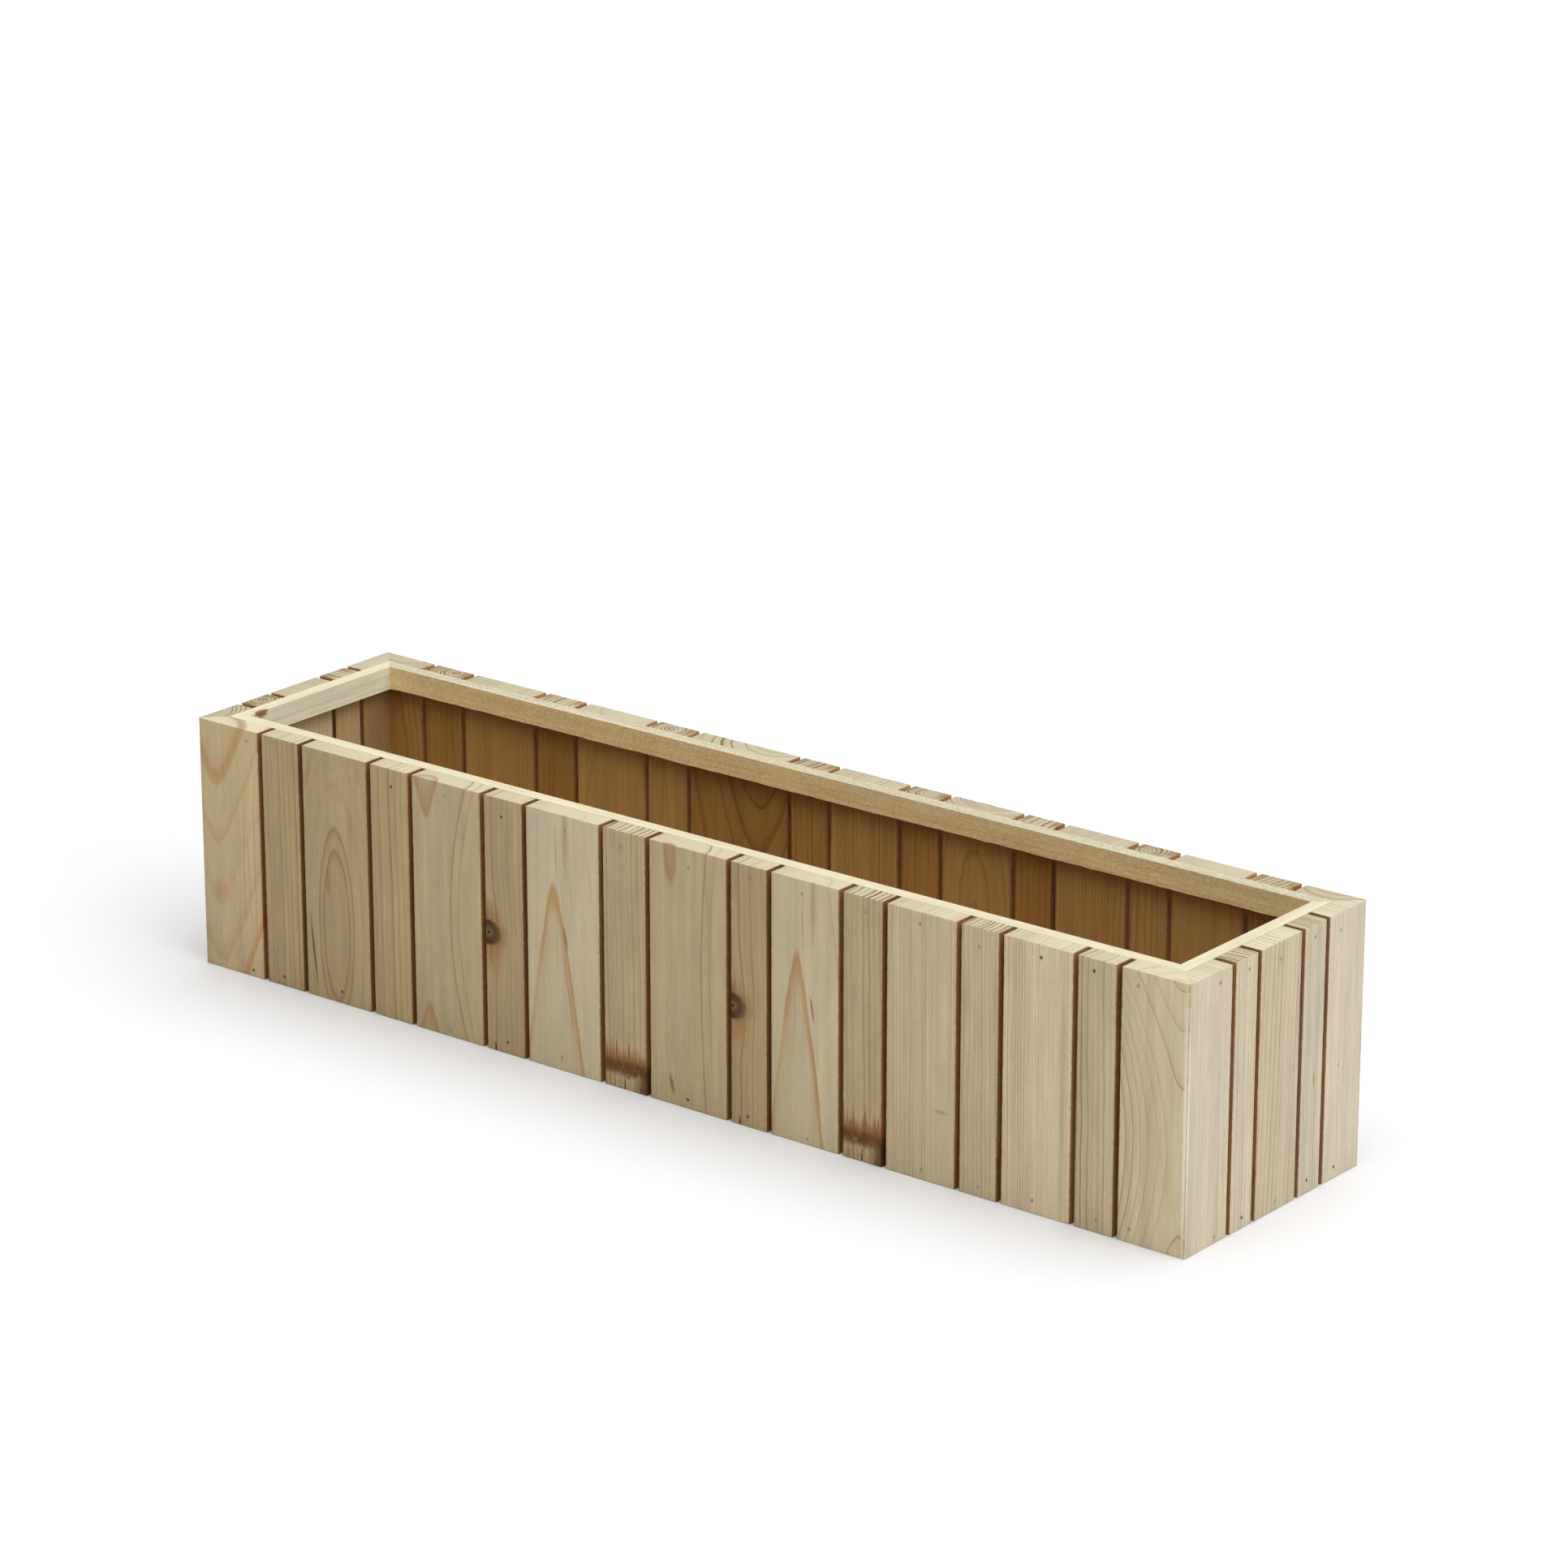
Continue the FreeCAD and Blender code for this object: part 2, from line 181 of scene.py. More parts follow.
def makeRings():
    # Year rings round a pith that runs along the board, with the taper and bow that make arches
    group, given, out = newGroup("yearRings", {
        "place": origin, "pithAcross": -50.0, "pithDepth": 9.0, "taper": 0.0, "bow": 0.0,
        "bowDown": 100.0, "spacing": 5.0, "core": -1000.0, "coreSpacing": 5.0, "phase": 0.0,
        "uneven": 1.2, "wobble": 2.0, "seed": 0.0, "strongRing": 0.0, "strongWidth": 1000.0, "faint": 0.3,
        "heartEdge": -1000.0, "heartFade": 5.0, "line": 1.3, "blur": 0.45,
    }, {"late": float, "heart": float, "wide": float})
    spot, seed = given["place"], given["seed"]
    across, depth, down = parts(spot)
    sideways = across - given["pithAcross"]
    inward = depth - given["pithDepth"]
    radius = calc("SQRT", sideways * sideways + inward * inward)
    off = down - given["bowDown"]
    bowed = radius - given["taper"] * down - given["bow"] * (off * off)
    slow = noise(spot, (0.035, 0.03, 0.012), seed) - 0.5
    quick = noise(spot, (0.3, 0.3, 0.05), seed) - 0.5
    grown = bowed + (slow * 2.0 + quick * 0.45) * given["wobble"]
    lane = joined(grown * 0.11, seed * 3.1)
    years = addNode(group, "TexNoise", {"Vector": lane, "Scale": 1.0}, noise_dimensions="2D")
    uneven = (Value(years.outputs["Fac"]) - 0.5) * given["uneven"]
    past = grown - given["core"]
    outer = calc("MAXIMUM", past, 0.0) / given["spacing"]
    inner = calc("MINIMUM", past, 0.0) / given["coreSpacing"]
    ring = outer + inner + (given["phase"] + uneven)
    index = calc("FLOOR", ring)
    share = calc("FRACT", ring)
    chance = addNode(group, "TexWhiteNoise", {"W": index + seed}, noise_dimensions="1D")
    distance = (index - given["strongRing"]) / given["strongWidth"]
    focus = calc("EXPONENT", distance * distance * -1.0)
    luck = Value(chance.outputs["Value"]) * 0.8 + 0.2
    luck = calc("MAXIMUM", luck, focus * calc("LESS_THAN", given["strongWidth"], 100.0))
    strength = luck * calc("MAXIMUM", focus, given["faint"])
    isOuter = calc("GREATER_THAN", past, 0.0)
    width = isOuter * given["spacing"] + (1.0 - isOuter) * given["coreSpacing"]
    before = (lineShare - share) * width     # mm inside the ring's line
    rise = ramp(before, given["line"], 0.0)
    haze = ramp(before, given["line"] * 4.0, 0.0)
    fall = ramp(before, given["blur"] * -1.0, 0.0)
    feed(out["late"], rise * fall * strength)
    feed(out["wide"], haze * fall * strength)
    within = given["heartEdge"] - grown
    feed(out["heart"], ramp(within, -0.5, 0.7) * ramp(within, 0.0, given["heartFade"], 1.0, 0.0))
    return group


grain = {     # sizes of the noises: cycles per mm across, in depth and down the board
    "streaks": (0.9, 0.9, 0.018), "threads": (4.5, 4.5, 0.11), "clouds": (0.035, 0.05, 0.011),
    "patches": (0.11, 0.09, 0.02), "bands": (0.13, 0.12, 0.0035), "grit": (1.0, 1.0, 0.6),
    "sawdust": (0.75, 0.75, 0.6), "fuzz": (1.1, 1.1, 0.2),
}
depths = {     # how far each noise takes the colour
    "streaks": 0.42, "threads": 0.3, "patches": 0.3, "bands": 0.38, "speck": 1.6, "fuzz": 0.3,
    "haze": 0.28, "endHaze": 0.3,
}


def makeTimber():
    # Sawn softwood: rings, streaks along the grain, saw marks, painted shade in the gaps and on the hidden
    # faces, and pale ends
    group, given, out = newGroup("sawnTimber", {
        "place": origin, "face": origin, "along": Vector((0, 0, 1)),
        "early": (0.7, 0.6, 0.4, 1.0), "late": (0.5, 0.35, 0.2, 1.0), "cool": (0.6, 0.55, 0.42, 1.0),
        "endPale": (0.7, 0.62, 0.44, 1.0), "endLine": (0.4, 0.3, 0.18, 1.0),
        "ringDepth": 0.6, "endDepth": 0.6, "fibre": 0.5, "rough": 0.2, "coolShare": 0.3, "seed": 0.0,
        "ringLate": 0.0, "ringWide": 0.0, "paintedLightAxis": origin, "hiddenFace": origin,
        "paintedLightTint": (0.5, 0.36, 0.24, 1.0), "hiddenPaintedLight": (0.8, 0.62, 0.42, 1.0),
        "gritSize": 0.85, "underRail": 1.0,
    }, {"colour": tuple, "roughness": float, "height": float})
    spot, seed = given["place"], given["seed"]
    streaks = noise(spot, grain["streaks"], seed, 3.0, 0.6)
    threads = noise(spot, grain["threads"], seed, 2.0, 0.6)
    clouds = noise(spot, grain["clouds"], seed, 2.0, 0.5)
    patches = noise(spot, grain["patches"], seed + 7.3, 3.0, 0.55)
    bands = noise(spot, grain["bands"], seed + 4.1, 2.0, 0.6)
    grit = noise(spot, grain["grit"], seed, 3.0, 0.75)
    sawdust = noise(vectorCalc("SCALE", spot, given["gritSize"]), grain["sawdust"], seed + 1.7, 3.0, 0.7)
    body = blend(ramp(clouds, 0.35, 0.7) * given["coolShare"], given["early"], given["cool"])
    body = blend(given["ringLate"] * given["ringDepth"], body, given["late"])
    body = blend(given["ringWide"] * (given["ringDepth"] * depths["haze"]), body, given["late"])
    fine = (streaks - 0.5) * depths["streaks"] + (threads - 0.5) * depths["threads"]
    mottle = (patches - 0.5) * depths["patches"] + (bands - 0.5) * depths["bands"]
    speck = (grit * 0.4 + sawdust * 0.6 - 0.5) * (given["rough"] * depths["speck"])
    body = vectorCalc("SCALE", body, fine * given["fibre"] + mottle + speck + 1.0)

    def facing(axis):
        return vectorCalc("DOT_PRODUCT", given["face"], axis)

    # Painted shade by face: the side faces in the gaps and the hidden faces are tinted as they look in
    # shadow, mostly darker and browner; on the rails the same tints paint light on the inner faces and
    # shade on the faces against the slats
    paintedLightFace = ramp(calc("ABSOLUTE", facing(given["paintedLightAxis"])), 0.6, 0.95)
    body = blend(paintedLightFace, body, blend(1.0, body, given["paintedLightTint"], "MULTIPLY"))
    isHidden = ramp(facing(given["hiddenFace"]), 0.6, 0.95)
    body = blend(isHidden, body, blend(1.0, body, given["hiddenPaintedLight"], "MULTIPLY"))
    # Painted shadow of the top rail: an inner face is darker near its top, fading out by 40 mm down
    railShadow = ramp(parts(spot)[2], 20.0, 40.0, given["underRail"], 1.0)
    body = vectorCalc("SCALE", body, (railShadow - 1.0) * isHidden + 1.0)

    # Sawn ends: pale, with each ring a dark line, and saw fuzz
    isEnd = ramp(calc("ABSOLUTE", facing(given["along"])), 0.75, 0.9)
    fuzz = noise(spot, grain["fuzz"], seed, 3.0, 0.65)
    endLine = (given["ringLate"] + given["ringWide"] * depths["endHaze"]) * given["endDepth"]
    sawnEnd = vectorCalc("SCALE", blend(endLine, given["endPale"], given["endLine"]),
                         (fuzz - 0.5) * depths["fuzz"] + 1.0)
    feed(out["colour"], blend(isEnd, body, sawnEnd))
    feed(out["roughness"], grit * 0.16 + 0.66)
    raised = streaks * 0.35 + threads * 0.3 + given["ringLate"] * 0.35
    feed(out["height"], raised + grit * (given["rough"] * 2.2 + 0.1))
    return group


def makeSmudge():
    # A soft-edged oval or a long leaning streak, for stains, flaws and pitch
    group, given, out = newGroup("smudge", {
        "place": origin, "across": 10.0, "down": 100.0, "halfWidth": 3.0, "halfLength": 10.0,
        "lean": 0.0, "soft": 0.5, "ragged": 0.3, "seed": 0.0, "reach": 4.0,
    }, {"mask": float})
    spot, seed = given["place"], given["seed"]
    across, depth, down = parts(spot)
    lengthwise = down - given["down"]
    x = (across - given["across"] - lengthwise * given["lean"]) / given["halfWidth"]
    y = lengthwise / given["halfLength"]
    z = depth / given["reach"]
    torn = noise(spot, (0.9, 0.9, 0.12), seed, 2.0) - 0.5
    edge = calc("SQRT", x * x + (y * y + z * z)) + torn * given["ragged"]
    feed(out["mask"], ramp(edge, 1.0, 1.0 - given["soft"]))
    return group


def makeRim():
    # The brown torn line along a board's two long arrises
    group, given, out = newGroup("rim", {
        "place": origin, "width": 100.0, "seed": 0.0,
    }, {"mask": float})
    spot, seed = given["place"], given["seed"]
    across, depth, down = parts(spot)
    near = calc("MINIMUM", across, given["width"] - across)
    torn = noise(spot, (0.4, 0.3, 0.22), seed, 3.0, 0.6) - 0.5
    feed(out["mask"], ramp(near + torn * 3.6, 1.7, 0.0))
    return group


def makeKnot():
    # Pushes the grain round a knot, and gives the knot's rings, its dark bark line and its flame marks
    group, given, out = newGroup("knot", {
        "place": origin, "across": 4.0, "down": 117.0, "halfWidth": 13.0, "halfHeight": 11.0,
        "push": 6.0, "seed": 0.0,
    }, {"place": Vector, "inside": float, "rings": float, "rim": float, "flame": float, "pip": float})
    spot, seed = given["place"], given["seed"]
    across, depth, down = parts(spot)
    x = (across - given["across"]) / given["halfWidth"]
    y = (down - given["down"]) / given["halfHeight"]
    torn = noise(spot, (0.25, 0.2, 0.25), seed, 3.0) - 0.5
    radius = calc("SQRT", x * x + y * y) + torn * 0.2
    far = x * (x * 0.3) + y * (y * 0.12)
    shift = calc("EXPONENT", far * -1.0) * given["push"] * -1.0
    feed(out["place"], joined(across + shift, depth, down))
    feed(out["inside"], ramp(radius, 1.1, 0.86))
    feed(out["rings"], calc("SINE", radius * 9.0) * 0.5 + 0.5)
    barkSide = ramp(x, 0.75, -0.2, 0.25, 1.0)
    feed(out["rim"], ramp(calc("ABSOLUTE", radius - 0.78), 0.34, 0.02) * barkSide)
    feed(out["pip"], ramp(radius, 0.16, 0.05))
    # Flames: narrow streaks that run up and down from the knot and fade out
    tongues = noise(spot, (0.8, 0.3, 0.02), seed + 3.0, 3.0, 0.65)
    height = calc("ABSOLUTE", (down - given["down"]) / 32.0)
    side = calc("ABSOLUTE", x * 0.75)
    reach = height * height + side * side
    flame = ramp(tongues, 0.36, 0.62) * ramp(reach, 1.1, 0.2)
    glow = ramp(radius, 1.8, 0.95, 0.0, 0.75)
    feed(out["flame"], calc("MAXIMUM", flame, glow))
    return group


def makeScorch():
    # A dark resinous band across a board, with flames up the grain above it and fibrous shade below
    group, given, out = newGroup("scorch", {
        "place": origin, "down": 190.0, "depthBand": 9.0, "flame": 16.0, "rightDark": 40.0,
        "seed": 0.0,
    }, {"brown": float, "dark": float})
    spot, seed = given["place"], given["seed"]
    across, depth, down = parts(spot)
    hairs = noise(spot, (1.0, 0.2, 0.012), seed, 2.5, 0.7)
    waves = noise(spot, (0.16, 0.1, 0.01), seed + 2.0, 1.0, 0.5)
    lift = ramp(hairs, 0.35, 0.8) * ramp(waves, 0.3, 0.7, 0.35, 1.2) * given["flame"]
    upper = given["down"] - lift
    above = ramp(down, upper - 7.0, upper + 4.0)
    fringe = noise(spot, (0.5, 0.1, 0.05), seed + 5.0, 2.0, 0.6)
    lower = given["down"] + given["depthBand"] * (0.5 + fringe * 1.3)
    below = ramp(down, lower - 3.0, lower + 4.0, 1.0, 0.0)
    fibres = noise(spot, (1.0, 0.3, 0.03), seed + 9.0, 3.0, 0.65)
    brown = above * below * (0.55 + fibres * 0.8)
    under = ramp(down, given["down"], given["down"] + 8.0) * (ramp(fibres, 0.46, 0.66) * 0.8)
    rightSide = ramp(across, given["rightDark"] - 14.0, given["rightDark"])
    rightSide = rightSide * ramp(down, given["down"] - 3.0, given["down"] + 8.0)
    middle = calc("ABSOLUTE", down - given["down"] - 8.0)
    blots = noise(spot, (0.3, 0.2, 0.12), seed + 12.0, 3.0, 0.7)
    core = ramp(middle, 9.0, 3.0) * ramp(blots, 0.32, 0.55, 0.35, 1.0)
    feed(out["brown"], calc("MAXIMUM", brown, under, clamp=True))
    feed(out["dark"], calc("MAXIMUM", core * 0.85, rightSide, clamp=True))
    return group


yearRings = makeRings()
sawnTimber = makeTimber()
smudge = makeSmudge()
rim = makeRim()
knot = makeKnot()
scorch = makeScorch()
print("stage: shader groups made")


# Wood finishes

palette = {
    "grey": {
        "early": tint(184, 160, 118), "late": tint(151, 110, 65), "cool": tint(165, 151, 115),
        "endPale": tint(214, 202, 168), "endLine": tint(122, 86, 48),
    },
    "tan": {
        "early": tint(192, 171, 130), "late": tint(159, 119, 76), "cool": tint(176, 161, 126),
        "endPale": tint(214, 203, 170), "endLine": tint(124, 88, 50),
    },
    "fair": {
        "early": tint(206, 188, 152), "late": tint(170, 131, 85), "cool": tint(190, 179, 147),
        "endPale": tint(216, 205, 174), "endLine": tint(130, 94, 54),
    },
    "pale": {
        "early": tint(219, 202, 169), "late": tint(182, 144, 99), "cool": tint(203, 191, 163),
        "endPale": tint(220, 210, 180), "endLine": tint(136, 100, 60),
    },
    "cream": {
        "early": tint(216, 202, 177), "late": tint(168, 143, 108), "cool": tint(200, 193, 173),
        "endPale": tint(226, 218, 190), "endLine": tint(130, 96, 58),
    },
    "dun": {
        "early": tint(204, 188, 161), "late": tint(153, 126, 90), "cool": tint(189, 179, 157),
        "endPale": tint(226, 218, 190), "endLine": tint(130, 96, 58),
    },
    "butter": {
        "early": tint(228, 219, 188), "late": tint(206, 184, 140), "cool": tint(222, 215, 190),
        "endPale": tint(224, 213, 178), "endLine": tint(170, 136, 88),
    },
    "floor": {
        "early": tint(206, 180, 138), "late": tint(168, 128, 84), "cool": tint(186, 168, 134),
        "endPale": tint(210, 192, 152), "endLine": tint(130, 96, 60),
    },
}
pitchBrown = tint(104, 60, 30)
resinRed = tint(152, 98, 60)
stainBlue = tint(132, 124, 118)

straight = {"pith": (-70.0, 12.0), "taper": 0.012, "spacing": 5.2, "wobble": 2.4}
fineGrain = {"pith": (-90.0, 20.0), "taper": 0.006, "spacing": 2.7, "wobble": 1.4}


def grainMap(tree, board):
    # Turns the piece's Object coordinates into mm across, in depth and down the board
    axes = Matrix((board["across"], board["inward"], board["down"]))
    flip = -1.0 if axes.determinant() < 0 else 1.0
    turn = axes @ Matrix.Diagonal((1, 1, flip))
    shift = axes @ board["corner"]
    coordinates = addNode(tree, "TexCoord", {}).outputs
    mapping = addNode(tree, "Mapping", {
        "Vector": Value(coordinates["Object"]), "Location": shift * -perMetre,
        "Rotation": turn.to_euler("XYZ"), "Scale": (perMetre, perMetre, perMetre * flip),
    }, vector_type="POINT")
    return Value(mapping.outputs[0]), Value(coordinates["Normal"])


ringKeys = ("taper", "bow", "bowDown", "spacing", "core", "coreSpacing", "phase", "uneven", "wobble",
            "strongRing", "strongWidth", "faint", "heartEdge", "heartFade", "line", "blur")
timberUsual = {"ringDepth": 0.75, "endDepth": 0.5, "fibre": 0.75, "rough": 0.3, "coolShare": 0.3,
               "gritSize": 0.85}
burnt = {"brown": (0.95, tint(144, 92, 38)), "dark": (0.9, tint(84, 47, 13))}
knotTones = {
    "flame": tint(148, 106, 50), "ring": tint(88, 62, 34), "between": tint(124, 92, 54),
    "rim": tint(54, 34, 16), "pip": tint(36, 24, 12),
}
rimTint = (0.62, 0.45, 0.3, 1.0)
rimShare = 0.7


def boardMaterial(name, board, look):
    material = newMaterial(name + "_wood")
    tree = material.node_tree
    spot, normal = grainMap(tree, board)
    tones = {key: shaded(value, look.get("gain", 1.0)) for key, value in palette[look["tone"]].items()}
    tones["late"] = look.get("late", tones["late"])
    tones["endPale"] = shaded(tones["endPale"], look.get("endGain", 0.96))
    seed = look["seed"]
    flaw = None
    if "knot" in look:
        flaw = useGroup(tree, knot, place=spot, push=look["push"], seed=seed,
                        **dict(zip(("across", "down", "halfWidth", "halfHeight"), look["knot"])))
    grained = flaw["place"] if flaw else spot
    rings = useGroup(tree, yearRings, place=grained, pithAcross=look["pith"][0], pithDepth=look["pith"][1],
                     seed=seed, **{key: look[key] for key in ringKeys if key in look})
    given = {key: look.get(key, usual) for key, usual in timberUsual.items()}
    timber = useGroup(tree, sawnTimber, place=grained, face=normal, along=board["down"], seed=seed,
                      ringLate=rings["late"], ringWide=rings["wide"], **tones, **given, **board["shade"])
    colour = timber["colour"]
    if "heart" in look:
        heartColour, heartShare = look["heart"]
        streaks = noise(spot, (0.7, 0.5, 0.02), seed, 3.0, 0.6)
        filled = rings["heart"] * ramp(streaks, 0.3, 0.65, 0.45, 1.0)
        colour = blend(filled * heartShare, colour, heartColour)
    if "width" in board:
        torn = useGroup(tree, rim, place=spot, width=board["width"], seed=seed)["mask"]
        colour = blend(torn * rimShare, colour, blend(1.0, colour, rimTint, "MULTIPLY"))
    for index, spotMark in enumerate(look.get("marks", [])):
        values = {key: value for key, value in spotMark.items() if key not in ("colour", "share")}
        mask = useGroup(tree, smudge, place=spot, seed=seed + index, **values)["mask"]
        colour = blend(mask * spotMark["share"], colour, spotMark["colour"])
    if "scorch" in look:
        masks = useGroup(tree, scorch, place=spot, seed=seed, **look["scorch"])
        for key, (share, tone) in burnt.items():
            colour = blend(masks[key] * share, colour, tone)
    height = timber["height"]
    if flaw:
        colour = blend(flaw["flame"] * 0.85, colour, knotTones["flame"])
        heartwood = blend(flaw["rings"], knotTones["ring"], knotTones["between"])
        heartwood = blend(flaw["rim"] * 0.95, heartwood, knotTones["rim"])
        heartwood = blend(flaw["pip"], heartwood, knotTones["pip"])
        colour = blend(flaw["inside"], colour, heartwood)
        height = height - flaw["rim"] * 0.8
    finishShader(tree, {"Specular IOR Level": 0.25, "Base Color": colour, "Roughness": timber["roughness"]},
                 height, look.get("bump", 0.35), 0.6 * millimetre)
    return material


# Board making

def pick(*pieces):
    # Selects these pieces alone, or nothing
    if bpy.context.object and bpy.context.object.mode != "OBJECT":
        bpy.ops.object.mode_set(mode="OBJECT")
    bpy.ops.object.select_all(action="DESELECT")
    for piece in pieces:
        piece.select_set(True)
    if pieces:
        bpy.context.view_layer.objects.active = pieces[0]


def cornerOf(low, high, towards):
    return Vector([high[k] if towards[k] > 0 else low[k] for k in range(3)])


def reaches(low, high, spot, slack=0.1 * millimetre):
    return all(low[k] - slack <= spot[k] <= high[k] + slack for k in range(3))


def applyPlace():
    bpy.ops.object.transform_apply(location=True, rotation=True, scale=True)


def faceOut():
    bpy.ops.mesh.select_all(action="SELECT")
    bpy.ops.mesh.normals_make_consistent(inside=False)
    bpy.ops.object.mode_set(mode="OBJECT")


def pickEdges(piece, test):
    # Selects the edges whose two ends and direction pass the test
    bpy.ops.mesh.select_all(action="DESELECT")
    bpy.ops.mesh.select_mode(type="EDGE")
    bpy.ops.object.mode_set(mode="OBJECT")
    points = piece.data.vertices
    for edge in piece.data.edges:
        first, second = (points[index].co for index in edge.vertices)
        edge.select = test(first, second)
    bpy.ops.object.mode_set(mode="EDIT")


arris = {
    "ease": 0.8 * millimetre,        # rounding of an outer arris
    "crispEase": 0.2 * millimetre,   # rounding along mitres, corner flats and the hidden inner arrises
    "cornerFlat": 0.6 * millimetre,  # how deep the outer corners are worn
    "step": 3.4 * millimetre,        # length of a facet along the grain
    "waver": 0.4 * millimetre,       # how far saw and wear take an arris in
    "waverSize": 5.0 * millimetre,
    "keep": 0.9 * millimetre,        # nothing wavers this close to a mitre or a crisp face
    "smooth": math.radians(38),
}
saw = bpy.data.textures.new("arrisWaver", "CLOUDS")
saw.noise_scale = arris["waverSize"]
saw.noise_depth = 3


def sawnBoard(node, grainAxis, mitres, flats, crispFaces, waver):
    # A block at the node's place, cut, eased, and given arrises that waver as sawn ones do.
    # Mitres, flats and crisp faces are planes: a point and the outward direction.
    low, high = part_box(node)
    pick()
    bpy.ops.mesh.primitive_cube_add(size=1, location=(low + high) / 2)
    piece = bpy.context.object
    piece.name = node + "_board"
    piece.scale = high - low
    applyPlace()
    bpy.ops.object.mode_set(mode="EDIT")
    crispFaces = [*crispFaces, *flats]
    for point, outward in [*mitres, *flats]:
        bpy.ops.mesh.select_all(action="SELECT")
        bpy.ops.mesh.bisect(plane_co=point, plane_no=outward, use_fill=True, clear_outer=True)

    def onPlane(spot, planes, reach=0.01 * millimetre):
        return any(abs((spot - point).dot(outward)) < reach for point, outward in planes)

    def onCrisp(spot):
        return onPlane(spot, mitres) or onPlane(spot, crispFaces)

    def straightEdge(first, second):
        direction = (second - first).normalized()
        return max(abs(direction.x), abs(direction.y), abs(direction.z)) > 0.999

    def plainArris(first, second):
        return straightEdge(first, second) and not (onCrisp(first) and onCrisp(second))

    def crispArris(first, second):
        onMitre = onPlane(first, mitres) and onPlane(second, mitres)
        isLong = (second - first).length > 5 * millimetre
        return onCrisp(first) and onCrisp(second) and not onMitre and isLong

    pickEdges(piece, plainArris)
    bpy.ops.mesh.bevel(offset=arris["ease"], segments=2, affect="EDGES")
    pickEdges(piece, crispArris)
    bpy.ops.mesh.bevel(offset=arris["crispEase"], segments=1, affect="EDGES")
    grain = Vector((0, 0, 0))
    grain[grainAxis] = 1
    length = (high - low)[grainAxis]
    pickEdges(piece, lambda first, second: abs((second - first).dot(grain)) > 0.6 * length)
    bpy.ops.mesh.subdivide(number_cuts=max(8, round(length / arris["step"])))
    faceOut()
    worn = piece.vertex_groups.new(name="arris")
    kept = [*mitres, *crispFaces]
    worn.add([p.index for p in piece.data.vertices if not onPlane(p.co, kept, arris["keep"])], 1.0, "ADD")
    wander = piece.modifiers.new("waver", "DISPLACE")
    wander.texture = saw
    wander.texture_coords = "GLOBAL"
    wander.vertex_group = "arris"
    wander.mid_level = 1.0
    wander.strength = waver
    bpy.ops.object.modifier_apply(modifier="waver")
    piece.vertex_groups.clear()
    return piece


def cutAway(piece, cutter):
    pick(piece)
    cut = piece.modifiers.new("cut", "BOOLEAN")
    cut.operation = "DIFFERENCE"
    cut.solver = "EXACT"
    cut.object = cutter
    bpy.ops.object.modifier_apply(modifier="cut")
    bpy.data.objects.remove(cutter)


def finishBoard(piece, node, material):
    pick(piece)
    bpy.ops.object.shade_smooth_by_angle(angle=arris["smooth"])
    piece.data.materials.clear()
    piece.data.materials.append(material)
    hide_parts(node)
    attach(piece, "root")


# Nails: where they stand is read from the CAD nails

nailShape = {
    "head": 1.15 * millimetre, "headDepth": 0.7 * millimetre, "dome": 0.1 * millimetre,
    "domeEdge": 0.35 * millimetre, "shank": 0.75 * millimetre, "tip": 2.4 * millimetre,
    "tipShare": 0.08,                 # width of the point, as a share of the shank
    "sunk": 0.15 * millimetre, "dimple": 1.3 * millimetre, "dimpleFloor": 1.2 * millimetre,
    "dimpleDepth": 1.6 * millimetre, "level": 0.3 * millimetre, "smooth": math.radians(35),
}


def nailPlaces(node):
    # Head and direction of each nail of a node, from the loose parts of a merged copy
    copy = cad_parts[node].copy()
    copy.data = copy.data.copy()
    copy.parent = None
    bpy.context.scene.collection.objects.link(copy)
    pick(copy)
    bpy.ops.object.mode_set(mode="EDIT")
    bpy.ops.mesh.select_all(action="SELECT")
    bpy.ops.mesh.remove_doubles(threshold=1e-6)
    bpy.ops.mesh.separate(type="LOOSE")
    bpy.ops.object.mode_set(mode="OBJECT")
    loose = list(bpy.context.selected_objects)
    nails = []
    for single in loose:
        points = [point.co.copy() for point in single.data.vertices]
        lows, highs = ([limit(p[k] for p in points) for k in range(3)] for limit in (min, max))
        spans = [high - low for low, high in zip(lows, highs)]
        axis = spans.index(max(spans))
        direction = Vector([float(k == axis) for k in range(3)])
        middle = sum(points, Vector((0, 0, 0))) / len(points)

        def girth(level):
            near = [p for p in points if abs(p[axis] - level) < nailShape["level"]]
            return max((p - middle).cross(direction).length for p in near)

        start, end = lows[axis], highs[axis]
        head, tip = (start, end) if girth(start) > girth(end) else (end, start)
        headPoint = Vector([(low + high) / 2 for low, high in zip(lows, highs)])
        headPoint[axis] = head
        nails.append((headPoint, direction * (1 if tip > head else -1), abs(tip - head)))
    for single in loose:
        bpy.data.objects.remove(single)
    nails.sort(key=lambda nail: tuple(round(value, 5) for value in nail[0]))
    return nails


nails = {node: nailPlaces(node) for node in ("top_nails", "bottom_nails", "floor_nails")}
print("stage: nails found", {node: len(found) for node, found in nails.items()})


